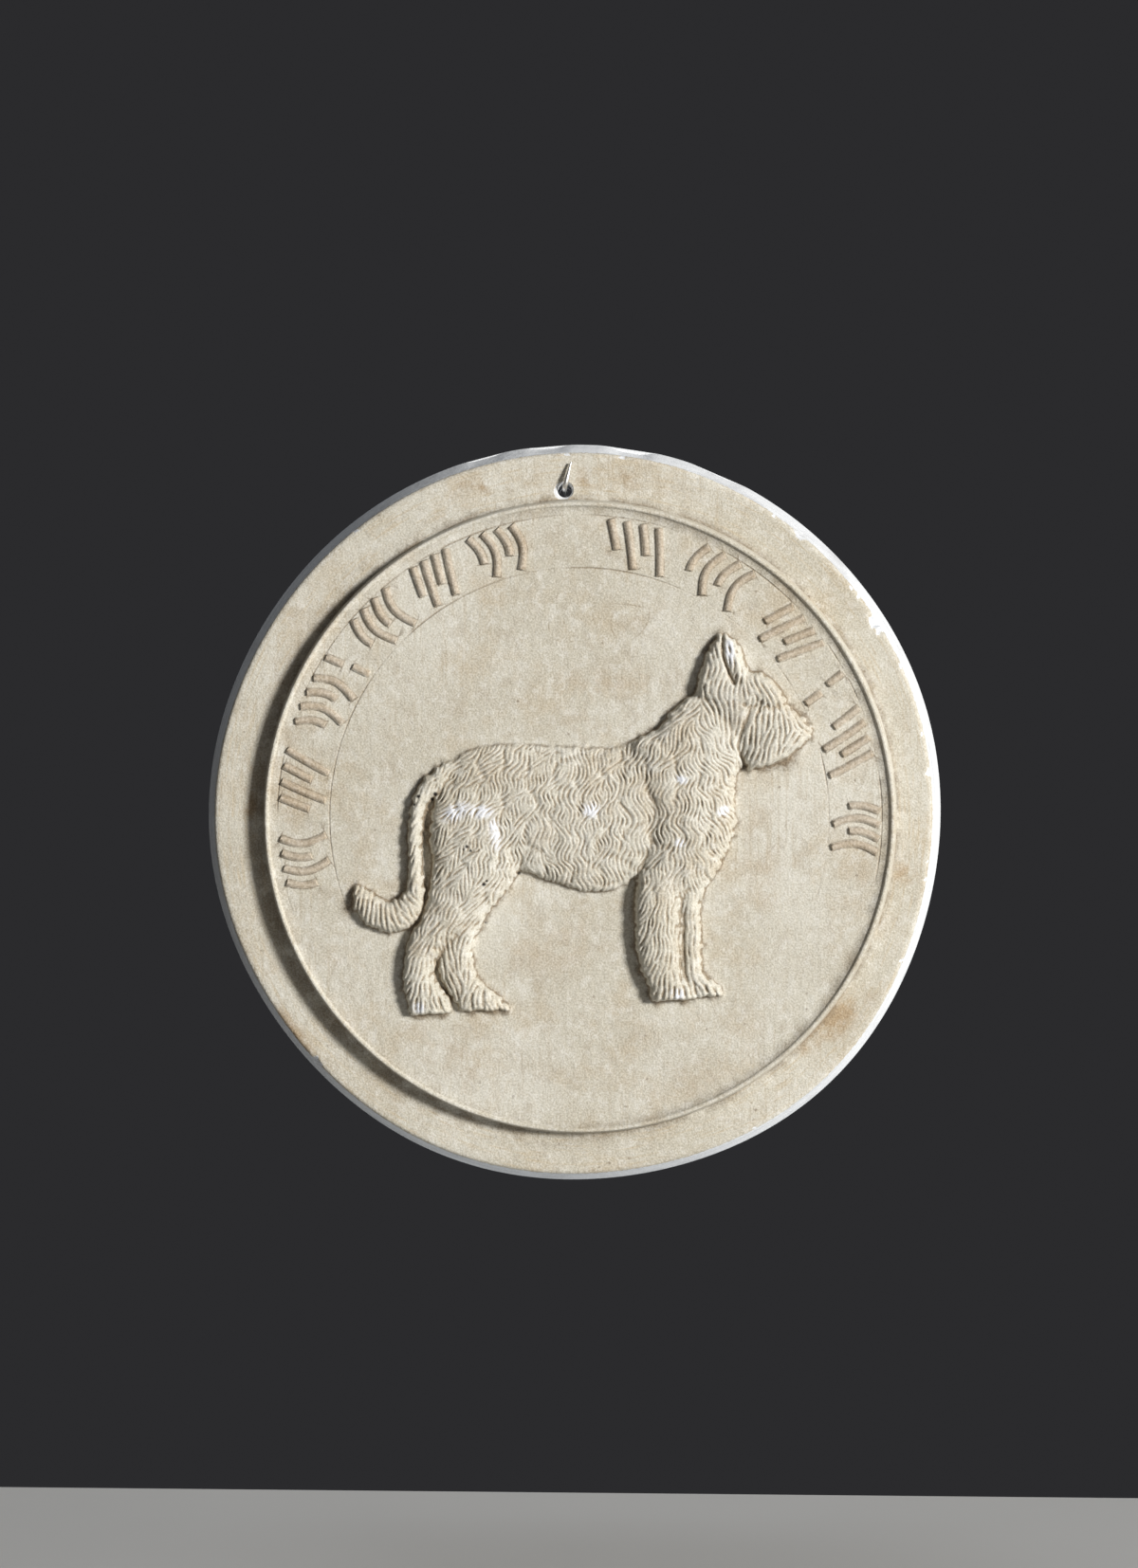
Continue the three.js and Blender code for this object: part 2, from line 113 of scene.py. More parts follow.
# Forms of the dog: stations from [x, z] on one edge to [x, z] on the other, with the crown's height,
# and the swell at the first and the second edge
DOG = {
    "far_hind_leg": ((0.32, 0.5), [
        (-36.7, -24.1, -23.5, -23.1, 4.1), (-40.0, -32.4, -31.4, -33.4, 4.3),
        (-44.6, -40.7, -34.7, -40.3, 4.3), (-48.3, -48.3, -36.4, -46.6, 4.1),
        (-48.6, -53.2, -35.7, -52.6, 4.1), (-46.3, -58.5, -32.7, -57.7, 4.3),
        (-43.3, -63.2, -26.8, -62.2, 4.5), (-41.3, -67.3, -23.1, -66.5, 3.8)]),
    "far_foreleg": ((0.35, 0.5), [
        (34.4, -20.8, 46.6, -20.8, 4.7), (35.0, -29.1, 42.3, -29.1, 4.7),
        (35.0, -39.0, 42.7, -39.0, 4.5), (35.2, -48.3, 43.0, -48.9, 4.5),
        (35.4, -54.2, 43.7, -54.2, 4.3), (36.7, -58.9, 48.6, -57.2, 4.3),
        (38.7, -62.3, 50.6, -61.5, 3.8)]),
    "torso": ((0.6, 0.4), [
        (-50.6, 14.9, -48.6, -3.3, 2.5), (-45.3, 18.8, -41.3, -14.2, 4.2),
        (-36.7, 24.1, -30.8, -20.8, 5.4), (-25.1, 26.0, -20.5, -18.8, 5.9),
        (-11.9, 25.1, -9.3, -22.2, 6.1), (1.3, 24.8, 1.3, -25.5, 6.2),
        (12.9, 24.8, 11.2, -25.1, 6.1), (22.2, 28.4, 20.2, -20.8, 5.8),
        (31.4, 31.7, 29.4, -14.2, 5.0)]),
    "forequarter": ((0.32, 0.5), [
        (41.0, 44.3, 60.8, 22.2, 5.5), (36.7, 41.0, 58.2, 19.5, 6.5),
        (31.7, 36.4, 55.6, 15.9, 7.1), (27.1, 30.8, 54.2, 10.9, 7.4),
        (18.8, 25.5, 54.4, 4.0, 7.1), (20.2, 13.9, 54.2, -3.3, 7.3),
        (24.1, 4.0, 51.9, -10.9, 7.4), (24.5, -6.6, 48.3, -18.5, 7.1),
        (21.5, -16.5, 44.0, -23.8, 6.7), (19.8, -23.1, 38.7, -27.1, 6.1)]),
    "near_foreleg": ((0.27, 0.45), [
        (20.8, -17.5, 40.3, -19.2, 6.9), (19.8, -25.8, 36.7, -27.4, 7.4),
        (19.5, -35.7, 36.2, -37.4, 7.4), (20.2, -45.6, 36.7, -45.6, 7.1),
        (21.8, -52.3, 36.4, -52.3, 6.9), (23.8, -57.5, 38.4, -55.9, 6.6),
        (24.8, -61.2, 41.3, -58.9, 6.3), (25.1, -63.7, 42.3, -62.5, 5.6)]),
    "near_hind_leg": ((0.27, 0.45), [
        (-48.0, 9.9, -27.4, 15.5, 4.6), (-50.9, 1.3, -20.2, 4.0, 6.6),
        (-51.3, -9.3, -19.5, -8.6, 7.2), (-50.6, -17.5, -21.2, -19.8, 6.8),
        (-52.3, -27.8, -27.4, -28.4, 6.7), (-54.9, -35.4, -36.0, -37.7, 7.0),
        (-58.5, -41.3, -44.0, -43.3, 6.5), (-60.2, -47.6, -48.6, -48.9, 6.0),
        (-60.8, -54.9, -49.9, -54.9, 6.0), (-60.2, -61.2, -46.6, -60.2, 5.8),
        (-59.2, -65.5, -44.3, -63.8, 5.5), (-58.5, -68.5, -43.8, -67.8, 4.8)]),
    "tail": ((0.3, 0.38), [
        (-43.8, 20.2, -40.0, 14.5, 2.6), (-48.9, 17.5, -43.8, 12.4, 3.6),
        (-53.2, 13.8, -47.0, 9.6, 4.3), (-56.4, 9.4, -50.6, 6.4, 4.5),
        (-58.2, 4.0, -53.6, 2.0, 4.5), (-59.2, -5.3, -54.2, -6.0, 4.5),
        (-58.9, -14.2, -54.2, -14.2, 4.5), (-59.2, -23.1, -53.4, -25.1, 4.8),
        (-60.8, -26.1, -54.2, -33.1, 5.0), (-63.8, -28.4, -58.5, -38.0, 5.3),
        (-67.1, -28.6, -65.8, -40.0, 5.3), (-70.8, -26.5, -72.8, -37.7, 5.0),
        (-74.4, -24.5, -77.1, -32.7, 4.5), (-77.7, -24.1, -78.2, -27.1, 3.4)]),
    "skull": ((0.5, 0.5), [
        (40.3, 42.0, 51.3, 48.9, 5.8), (45.3, 33.7, 57.5, 50.3, 6.7),
        (51.9, 25.5, 63.5, 49.8, 6.7), (56.5, 22.2, 68.8, 46.0, 6.5),
        (60.8, 27.1, 72.1, 40.3, 6.0)]),
    "ear": ((0.28, 0.5), [
        (40.3, 41.7, 57.2, 46.3, 6.6), (41.3, 48.3, 56.9, 50.9, 6.3),
        (43.7, 55.6, 56.2, 56.5, 5.7), (46.0, 59.9, 54.2, 60.8, 4.9),
        (48.8, 63.3, 51.3, 63.5, 3.8)]),
    "ear_flap": ((0.22, 0.75), [
        (53.9, 45.6, 61.2, 46.3, 6.9), (51.9, 49.6, 59.2, 49.9, 6.8),
        (50.3, 54.6, 57.5, 55.2, 6.3), (49.4, 59.2, 55.6, 59.9, 5.6),
        (49.3, 63.0, 51.6, 63.2, 4.2)]),
    "brow": ((0.5, 0.2), [
        (44.3, 50.3, 42.7, 41.0, 6.2), (48.6, 50.6, 48.0, 38.4, 6.9),
        (54.2, 50.3, 54.2, 37.4, 7.3), (59.9, 50.6, 60.2, 37.4, 7.45),
        (64.8, 49.3, 64.8, 37.6, 7.4), (68.1, 46.0, 69.4, 38.4, 6.8),
        (70.4, 42.3, 71.1, 40.0, 5.2)]),
    "beard": ((0.3, 0.5), [
        (59.2, 36.7, 72.4, 39.0, 5.7), (56.5, 33.7, 77.7, 34.4, 6.4),
        (55.4, 28.8, 80.7, 30.8, 6.9), (55.6, 24.5, 79.4, 26.8, 6.8),
        (56.2, 21.2, 75.7, 23.5, 6.4), (57.5, 18.5, 72.4, 21.0, 5.8),
        (59.2, 16.5, 66.5, 18.2, 4.6)]),
}
RELIEF_EDGE = 0.3
RELIEF_TOP = 7.75

# Which way the coat is combed: x, z, angle of the strand in degrees, share of wave
COAT_GUIDES = [
    # flank
    (-33, 20, 50, 0.8), (-23, 20, 62, 1), (-10, 20, 70, 1), (5, 20, 76, 1), (14, 20, 76, 1),
    (-15, 7, 82, 1), (-4, 7, 86, 1), (10, 7, 90, 1), (20, 9, 88, 1), (-15, -6, 90, 1),
    (-2, -6, 93, 1), (11, -6, 93, 1), (21, -6, 93, 1), (-17, -17, 106, 1), (-7, -18, 100, 1),
    (6, -21, 98, 1), (15, -18, 88, 1),
    # rump and thigh
    (-43, 17, 48, 0.6), (-47, 10, 50, 0.7), (-37, 9, 58, 0.9), (-25, 11, 72, 1), (-49, 0, 45, 0.7),
    (-40, -1, 55, 0.9), (-29, -1, 68, 1), (-22, -3, 86, 1), (-49, -13, 50, 0.7), (-40, -13, 62, 1),
    (-30, -13, 76, 1), (-22, -14, 98, 0.8), (-48, -26, 58, 0.7), (-39, -26, 72, 0.9),
    (-30, -26, 68, 0.7), (-51, -35, 60, 0.5), (-42, -37, 55, 0.5), (-35, -34, 50, 0.4),
    # hind legs and paws
    (-58, -46, 58, 0.3), (-52, -46, 75, 0.4), (-59, -57, 58, 0.2), (-53, -57, 85, 0.3),
    (-58, -66, 72, 0.1), (-52, -66, 90, 0.1), (-46, -65, 112, 0.1), (-44, -47, 110, 0.4),
    (-38, -47, 75, 0.4), (-42, -57, 105, 0.3), (-35, -60, 75, 0.3), (-37, -65, 88, 0.1),
    (-28, -64, 118, 0.1),
    # tail
    (-56, 2, 62, 0.1), (-57, -9, 62, 0.1), (-56, -21, 65, 0.1), (-57.5, -30, 131, 0.15),
    (-61, -34, 118, 0.15), (-66.5, -34, 97, 0.15), (-72, -32, 80, 0.15), (-76, -29, 70, 0.15),
    # neck and shoulder
    (31, 35, 45, 0.5), (39, 39, 42, 0.5), (34, 28, 62, 1), (43, 29, 110, 1), (48, 23, 130, 0.9),
    (53, 18.5, 135, 0.7), (20, 23, 62, 0.9), (26, 24, 58, 1), (23.5, 16.5, 76, 1), (30, 18, 70, 1),
    (29, 7, 92, 1), (37, 10, 82, 1), (43, 12, 106, 1), (50, 11, 135, 0.8), (29, -3, 92, 1),
    (38, 0, 95, 1), (46, 2, 120, 1), (52, 4, 140, 0.7), (29, -10, 80, 1), (38, -10, 95, 1),
    (44, -9, 114, 1), (50, -9, 130, 0.7), (28, -18, 76, 0.9), (35, -18.5, 90, 1), (42, -18, 106, 0.8),
    # forelegs and paws
    (22, -29, 60, 0.5), (28, -29, 82, 0.7), (34, -29, 95, 0.6), (22, -41, 60, 0.4), (28, -41, 84, 0.6),
    (34, -41, 94, 0.5), (24, -52, 62, 0.3), (29.5, -52, 86, 0.4), (34.5, -52, 100, 0.3),
    (28.5, -61, 68, 0.1), (33.5, -61, 90, 0.1), (39.5, -60.5, 114, 0.1), (40, -34, 86, 0.4),
    (40, -46, 94, 0.3), (45, -59, 122, 0.1),
    # head
    (46, 55, 118, 0.1), (48, 59.5, 112, 0.1), (53, 56, 96, 0.1), (44.5, 48.5, 58, 0.1),
    (43, 44, 88, 0.1), (45.5, 39.5, 118, 0.2), (51, 46, 72, 0.1), (50, 41, 95, 0.1),
    (52.5, 36, 88, 0.2), (59, 45, 96, 0.3), (64.5, 45, 112, 0.3), (69, 42.5, 122, 0.3),
    (52, 28.5, 82, 0.3), (56.5, 37.5, 72, 0.1), (62.5, 32, 72, 0.1), (59, 24, 68, 0.1),
    (68, 32, 80, 0.2), (66.5, 25, 72, 0.2), (73, 34, 110, 0.2), (74.5, 26.5, 50, 0.2),
    (77.5, 30.5, 150, 0.2),
]
WAVY_PITCH = 1.32
STRAIGHT_PITCH = 1.8
STRAND_REACH = 0.85
WAVE_LENGTH = 10.5
WAVE_ANGLE = 38.0
COAT_DEPTH = 0.5
LOCK_SIZE = (8.5, 11.0)
LOCK_TURN = 8.0
LOCK_DEPTH = 0.5
COAT_STEP = 0.18
COAT_BOX = (-82.0, 83.0, -72.0, 67.0)
COAT_TURNS = 16
COAT_PASSES = 6
# Tufts that break the outlines: size and reach
TUFT_SIZE = 2.8
TUFT_REACH = 0.42

# Creases cut into the relief: points along the crease, half width and depth
CREASES = [
    # fold of the ear, back of the beard, eye
    ([(49.6, 62.8), (49.7, 57.2), (51.2, 51.4), (53.4, 46.3)], 0.6, 1.3),
    ([(59.4, 38.4), (56.9, 31.1), (55.2, 24.5), (57.5, 17.9)], 0.6, 1.0),
    ([(56.8, 39.0), (59.2, 37.8), (60.8, 38.6), (62.6, 37.2), (64.6, 38.4), (66.6, 37.5), (69.0, 39.0)],
     0.9, 0.6),
    ([(62.6, 39.8), (62.2, 36.6)], 0.7, 1.1),
    ([(75.4, 32.6), (76.8, 30.2), (75.6, 27.6)], 0.5, 0.5),
    # between the forelegs
    ([(37.2, -25.4), (36.7, -40.7), (36.5, -50.6), (37.8, -56.2)], 0.8, 0.15),
    # toes
    ([(-55.6, -62.8), (-55.9, -67.5)], 0.5, 0.45),
    ([(-51.9, -62.2), (-51.9, -67.5)], 0.5, 0.45),
    ([(-48.0, -62.2), (-47.6, -66.8)], 0.5, 0.45),
    ([(-36.7, -60.8), (-37.0, -66.1)], 0.5, 0.45),
    ([(-32.7, -60.2), (-32.4, -65.8)], 0.5, 0.45),
    ([(-28.8, -60.8), (-27.8, -65.5)], 0.5, 0.45),
    ([(29.8, -58.9), (29.1, -63.2)], 0.5, 0.45),
    ([(33.1, -58.2), (33.1, -63.2)], 0.5, 0.45),
    ([(36.7, -57.9), (37.0, -62.8)], 0.5, 0.45),
    ([(44.0, -57.5), (44.6, -61.8)], 0.5, 0.45),
    ([(47.0, -57.9), (48.0, -61.5)], 0.5, 0.45),
]

# Worn white places on the high spots: x, z, half lengths, turn in degrees
WORN_SPOTS = [
    (-42, 2, 6.0, 3.2, 25), (-33.5, 2.2, 5.5, 2.6, -5), (-28.5, -5.5, 2.2, 6.5, 10),
    (4.5, 2.8, 3.6, 3.0, 0), (35.5, 13.2, 2.6, 1.6, -20), (35, -8.5, 2.2, 1.8, 0),
    (52.2, 57, 1.7, 5.4, 6), (34, -60.5, 3.2, 2.2, 0), (-55, -65.5, 2.4, 2.4, 0), (50, 2.5, 2.6, 2.0, 30),
]
# Tan stains: x, z, half lengths, turn in degrees
STAINS = [
    (117, -21, 5, 11, 75), (-30, 117, 17, 4, 12), (10, 118, 15, 4, -3), (63, -13, 7, 23, 5),
    (-7, -46, 20, 9, 20), (-47, -82, 17, 8, -30), (43, -89, 20, 7, 20), (96, -22, 7, 11, 0),
    (-22, 95, 13, 4, 15), (-70, 73, 12, 5, 48), (-115, 4, 3, 20, 2), (-103, -75, 5, 17, 40),
    (89, -72, 6, 20, -45), (10, 47, 20, 8, 0), (-100, 14, 8, 20, 10),
]
# Dark specks of dirt: x, z, radius
SPECKS = [
    (-38.2, -9.8, 0.7), (-36.8, -11.2, 0.6), (-39.4, -10.8, 0.4), (-32.4, -22.8, 0.8), (-31.4, -21.6, 0.5),
    (-32, -36.6, 0.6), (22.8, -83, 0.6), (-55.2, 7.4, 0.8), (-49.4, 8.2, 0.9), (-50.6, 6.4, 0.7),
    (-56.6, 4.6, 0.5), (2, -108.2, 1.1), (-20.6, -19.2, 0.7),
]

# Thin scratches on the field: centre and radius of the arc, middle and reach of the part that shows
SCRATCHES = [
    (5.2, 75.1, 12.7, -6.9, 75.1, 12), (-4.2, 66.8, 6.1, -6.9, 62.4, 8), (11.8, 27.1, 47, 16.8, 74.2, 8),
    (18.4, 67.4, 7.2, 11.2, 67.4, 6), (14, 71.2, 10.5, 23.9, 67.4, 7), (40, 10, 34, 66, -12, 16),
]
# Radii of the circles scribed to guide the strokes
GUIDE_CIRCLES = (86.6, 104.8)

# Spacing of the face's mesh: on the dog, around it, and on the open field and rim
FINE_STEP = 0.388
FINE_MARGIN = 0.8
MIDDLE_STEP = 1.0
MIDDLE_MARGIN = 4.0
OPEN_STEP = 3.0
RIM_STEP = 2.2
BACK_STEP = 14.0


# Curves and outlines

def smooth_rows(rows, steps):
    """Rows of numbers along a Catmull-Rom curve through the given rows"""
    rows = np.asarray(rows, float)
    padded = np.vstack([2 * rows[0] - rows[1], rows, 2 * rows[-1] - rows[-2]])
    spans = len(rows) - 1
    where = np.linspace(0, spans, steps + 1)
    span = np.minimum(where.astype(int), spans - 1)
    t = (where - span)[:, None]
    a, b, c, d = (padded[span + k] for k in range(4))
    return 0.5 * (2 * b + (c - a) * t + (2 * a - 5 * b + 4 * c - d) * t ** 2
                  + (3 * b - a - 3 * c + d) * t ** 3)


def unit(vectors):
    return vectors / np.linalg.norm(vectors, axis=-1, keepdims=True)


def smooth_step(low, high, value):
    t = np.clip((value - low) / (high - low), 0, 1)
    return t * t * (3 - 2 * t)


def form_outline(stations, margin):
    """Closed outline of one form of the dog, grown by a margin"""
    rows = smooth_rows(stations, 48)
    first = rows[:, 0:2]
    second = rows[:, 2:4]
    across = unit(second - first)
    first = first - across * margin
    second = second + across * margin
    middle = (first + second) / 2
    for end, inner in ((0, 1), (-1, -2)):
        push = unit(middle[end] - middle[inner]) * margin
        first[end] += push
        second[end] += push
    return np.vstack([first, second[::-1]])


def inside(points, outline):
    """True for each point that the outline winds around"""
    low = outline.min(axis=0)
    high = outline.max(axis=0)
    near = np.flatnonzero(((points > low) & (points < high)).all(axis=1))
    x, z = points[near].T
    turns = np.zeros(len(near), int)
    for (ax, az), (bx, bz) in zip(outline, np.roll(outline, -1, axis=0)):
        side = (bx - ax) * (z - az) - (x - ax) * (bz - az)
        turns += ((az <= z) & (bz > z) & (side > 0)).astype(int)
        turns -= ((az > z) & (bz <= z) & (side < 0)).astype(int)
    result = np.zeros(len(points), bool)
    result[near] = turns != 0
    return result


def inside_dog(points, margin):
    result = np.zeros(len(points), bool)
    for _, stations in DOG.values():
        result |= inside(points, form_outline(stations, margin))
    return result


def lattice(step, reach):
    """Triangular lattice of points over a square of the given half side"""
    rise = step * math.sqrt(3) / 2
    rows = np.arange(-reach, reach, rise)
    columns = np.arange(-reach, reach, step)
    x, z = np.meshgrid(columns, rows)
    x = x + (np.arange(len(rows)) % 2)[:, None] * step / 2
    return np.stack([x.ravel(), z.ravel()], axis=1)


def clear_of(points, others, gap):
    """True for each point that is at least the gap away from all the others"""
    result = np.ones(len(points), bool)
    for start in range(0, len(points), 2000):
        part = points[start:start + 2000]
        away = np.hypot(part[:, None, 0] - others[None, :, 0], part[:, None, 1] - others[None, :, 1])
        result[start:start + 2000] = away.min(axis=1) > gap
    return result


def triangles_over(points):
    """Delaunay triangles over flat points, counter-clockwise"""
    flat = [Vector((float(x), float(z))) for x, z in points]
    _, _, faces, origins, _, _ = delaunay_2d_cdt(flat, [], [], 0, 1e-6)
    source = np.array([first[0] for first in origins])
    return source[np.array(faces)]


# The slab's rings, strokes and faces

def edge_wander(angle):
    total = np.zeros_like(angle)
    for lobes, height, crest in EDGE_WANDER:
        total += height * np.cos(lobes * (angle - math.radians(crest)))
    return total


def ring_angles(count):
    return np.arange(count) * 2 * math.pi / count


def turned_ring(radius, depth):
    """One ring of the slab, with the wander of the trimmed wall towards the edge"""
    angle = ring_angles(RING_POINTS)
    grown = radius + edge_wander(angle) * smooth_step(WANDER_START, FACE_RADIUS - 1, radius)
    on_wall = smooth_step(FACE_RADIUS, FACE_RADIUS + 2, radius)
    for direction, half_length, deep in EDGE_DIPS:
        away = np.angle(np.exp(1j * (angle - math.radians(direction)))) * radius
        grown -= deep * np.exp(-(away / half_length) ** 4) * on_wall
    return np.stack([grown * np.cos(angle), np.full(RING_POINTS, -depth), grown * np.sin(angle)], axis=1)


def chip_size(angle):
    """How much of the face's edge is broken away at each direction"""
    worn_side = np.exp(-(np.angle(np.exp(1j * (angle - NIBBLED_SIDE))) / NIBBLED_REACH) ** 4)
    ragged = np.abs(np.sin(61 * angle) * np.sin(23 * angle + 1.0) + 0.4 * np.sin(137 * angle))
    size = NIBBLE * (1 + NIBBLED_MORE * worn_side) * ragged
    for direction, half_length, deep in EDGE_CHIPS:
        away = np.angle(np.exp(1j * (angle - math.radians(direction)))) * FACE_RADIUS
        ragged = 1 + 0.25 * np.sin(away * 2.3 + direction)
        size += deep * ragged * np.clip(1 - (away / half_length) ** 2, 0, 1)
    return size


def chip_edge(ring, radius, depth):
    """Cuts the chips out of one ring near the face's edge and says how bare it is left"""
    angle = ring_angles(RING_POINTS)
    from_corner = (FACE_RADIUS - radius) + (RIM_DEPTH - depth)
    cut = np.clip(chip_size(angle) - max(from_corner, 0), 0, None)
    if from_corner < -0.5 or radius > 128:
        cut = np.zeros_like(cut)
    ring[:, 0] -= cut * 0.5 * np.cos(angle)
    ring[:, 2] -= cut * 0.5 * np.sin(angle)
    ring[:, 1] += cut * 0.5
    return smooth_step(0.15, 0.45, cut)


def stroke_lines():
    """Middle lines of the raised strokes as rows of [x, z]"""
    lines = []
    tall = STROKE_OUTER - STROKE_INNER
    for order, (middle, spread) in enumerate(STROKE_GROUPS):

        def spot(side, rise):
            angle = math.radians(middle + side * spread * 0.5)
            radius = STROKE_INNER + rise * tall
            return radius * math.cos(angle), radius * math.sin(angle)

        if spread < NARROW_GROUP:
            lines.append([spot(-0.5, 0), spot(-0.2, 0.4)])
            lines.append([spot(0.2, 0.6), spot(0.5, 1)])
            continue
        bowed = order % 2 == 0
        way = 1 if order % 4 < 2 else -1
        for k, place in enumerate(STROKE_PLACES):
            foot = 0 if k % 2 == 0 else SHORT_STROKE_FOOT
            line = []
            for rise in np.linspace(foot, 1, 15):
                swing = math.sin(math.pi * rise) - 0.5 if bowed else 1 - 2 * rise
                line.append(spot(place + way * STROKE_SWING * swing, rise))
            lines.append(line)
    return [np.array(line) for line in lines]


def stroke_strip(line):
    """Points across and along one stroke, with their share of its height and of the dirt and painted shade
    at its foot
    """
    legs = np.linalg.norm(np.diff(line, axis=0), axis=1)
    reached = np.concatenate([[0], np.cumsum(legs)])
    total = reached[-1]
    steps = max(int(total / STRIP_STEP), 2)
    between = np.linspace(0.3, total - 0.3, steps)
    along = np.concatenate([[-0.5, -0.12], between, [total + 0.12, total + 0.5]])
    on_line = np.clip(along, 0, total)

    def spots(reach):
        held = np.clip(reach, 0, total)
        return np.stack([np.interp(held, reached, line[:, k]) for k in range(2)], axis=1)

    middle = spots(along)
    run = unit(spots(on_line + 0.5) - spots(on_line - 0.5))
    middle += run * (along - on_line)[:, None]
    side = np.stack([-run[:, 1], run[:, 0]], axis=1)
    points = middle[:, None, :] + side[:, None, :] * np.array(STRIP_OFFSETS)[None, :, None]
    raised = np.tile(np.array(STRIP_RAISED, float), (len(along), 1))
    raised[[0, 1, -2, -1]] = 0
    dirt_and_shade = np.tile(np.array(STRIP_DIRT_AND_SHADE, float), (len(along), 1))
    dirt_and_shade[[0, -1]] = 0
    dirt_and_shade[[1, -2]] = 1
    return points.reshape(-1, 2), raised.ravel(), dirt_and_shade.ravel()


def casting_mesh():
    """Vertices, faces and marks of the whole casting with a flat field"""
    profile = LIP_RINGS + EDGE_RINGS
    rings = [turned_ring(radius, depth) for radius, depth in profile]
    bare = []
    for ring, (radius, depth) in zip(rings, profile):
        chipped = chip_edge(ring, radius, depth) if radius > 120 else np.zeros(RING_POINTS)
        wall = smooth_step(FACE_RADIUS - 0.3, FACE_RADIUS + 0.4, radius)
        bare.append(np.maximum(chipped, wall))
    points = list(rings)
    faces = []
    count = RING_POINTS
    step = np.arange(count)
    following = (step + 1) % count
    lip_last = len(LIP_RINGS) - 1
    for k in range(len(profile) - 1):
        if k != lip_last:
            low = k * count
            high = low + count
            faces.append(np.stack([low + step, high + step, high + following, low + following], axis=1))
    total = len(profile) * count

    # Field: strokes and lattices inside the lip
    strips = [stroke_strip(line) for line in stroke_lines()]
    strip_points = np.vstack([strip[0] for strip in strips])
    strip_raised = np.concatenate([strip[1] for strip in strips])
    strip_dirt_and_shade = np.concatenate([strip[2] for strip in strips])
    fine = lattice(FINE_STEP, 90)
    fine = fine[inside_dog(fine, FINE_MARGIN)]
    middle = lattice(MIDDLE_STEP, 95)
    middle = middle[inside_dog(middle, MIDDLE_MARGIN) & ~inside_dog(middle, FINE_MARGIN + 0.5)]
    middle = middle[clear_of(middle, strip_points, 0.8)]
    wide = lattice(OPEN_STEP, FIELD_EDGE)
    wide = wide[np.hypot(*wide.T) < FIELD_EDGE - 1.6]
    wide = wide[~inside_dog(wide, MIDDLE_MARGIN + 1.2)]
    wide = wide[clear_of(wide, strip_points, 1.4)]
    inner = np.vstack([strip_points, fine, middle, wide])
    edge = rings[0][:, [0, 2]]
    field = triangles_over(np.vstack([edge, inner]))
    ids = np.concatenate([np.arange(count), total + np.arange(len(inner))])
    faces.append(ids[field])
    points.append(np.stack([inner[:, 0], np.full(len(inner), -FIELD_DEPTH), inner[:, 1]], axis=1))
    field_range = (total, total + len(inner))
    total += len(inner)

    # Hanging hole, with the flat rim around it and the back
    turn = ring_angles(HOLE_POINTS)
    hole_ids = []
    for radius, depth in HOLE_RINGS:
        open_side = np.clip(np.cos(turn - HOLE_CHIP_SIDE), 0, 1)
        broken = smooth_step(15.4, RIM_DEPTH, depth) * HOLE_CHIP * open_side
        grown = radius + broken
        circle = np.stack([HOLE[0] + grown * np.cos(turn), np.full(HOLE_POINTS, -depth),
                           HOLE[1] + grown * np.sin(turn)], axis=1)
        hole_ids.append(total + np.arange(HOLE_POINTS))
        points.append(circle)
        total += HOLE_POINTS
    for near, far in zip(hole_ids, hole_ids[1:]):
        faces.append(np.stack([near, far, np.roll(far, -1), np.roll(near, -1)], axis=1))

    def flat_patch(ring_list, hole, step, low, high, depth):
        nonlocal total
        extra = lattice(step, high)
        radius = np.hypot(*extra.T)
        extra = extra[(radius > low) & (radius < high)]
        hole_points = points[len(profile) + 1 + hole][:, [0, 2]]
        extra = extra[clear_of(extra, hole_points, step * 0.5)]
        borders = [rings[k][:, [0, 2]] for k in ring_list]
        flat = np.vstack(borders + [hole_points, extra])
        border_ids = [k * count + np.arange(count) for k in ring_list]
        ids = np.concatenate(border_ids + [hole_ids[hole], total + np.arange(len(extra))])
        found = triangles_over(flat)
        centre = flat[found].mean(axis=1)
        keep = ~inside(centre, hole_points)
        if len(ring_list) > 1:
            keep &= np.hypot(*centre.T) > low - step + 0.9
        points.append(np.stack([extra[:, 0], np.full(len(extra), -depth), extra[:, 1]], axis=1))
        total += len(extra)
        return ids[found[keep]]

    rim_start = LIP_RINGS[-1][0] + 1.3
    rim_end = EDGE_RINGS[0][0] - 1
    rim = flat_patch([lip_last, lip_last + 1], 0, RIM_STEP, rim_start, rim_end, RIM_DEPTH)
    faces.append(rim)
    back = flat_patch([len(profile) - 1], len(HOLE_RINGS) - 1, BACK_STEP, 0, EDGE_RINGS[-1][0] - 8, 0.0)
    faces.append(back[:, ::-1])
    verts = np.vstack(points)
    marks = np.zeros(len(verts))
    marks[:len(profile) * count] = np.concatenate(bare)
    inside_hole = np.concatenate([hole_ids[k] for k in range(1, len(hole_ids))])
    marks[inside_hole] = 1
    marks[verts[:, 1] > -0.01] = 1
    strokes = np.zeros(len(verts))
    strokes[field_range[0]:field_range[0] + len(strip_raised)] = strip_raised
    edge_dirt_and_shade_share = np.zeros(len(verts))
    edge_dirt_and_shade_share[field_range[0]:field_range[0] + len(strip_dirt_and_shade)] = strip_dirt_and_shade
    # Corners at the lip and at the drum's foot: partly dirt, partly painted shade
    for k, share in CORNER_DIRT_AND_SHADE.items():
        edge_dirt_and_shade_share[k * count:(k + 1) * count] = share

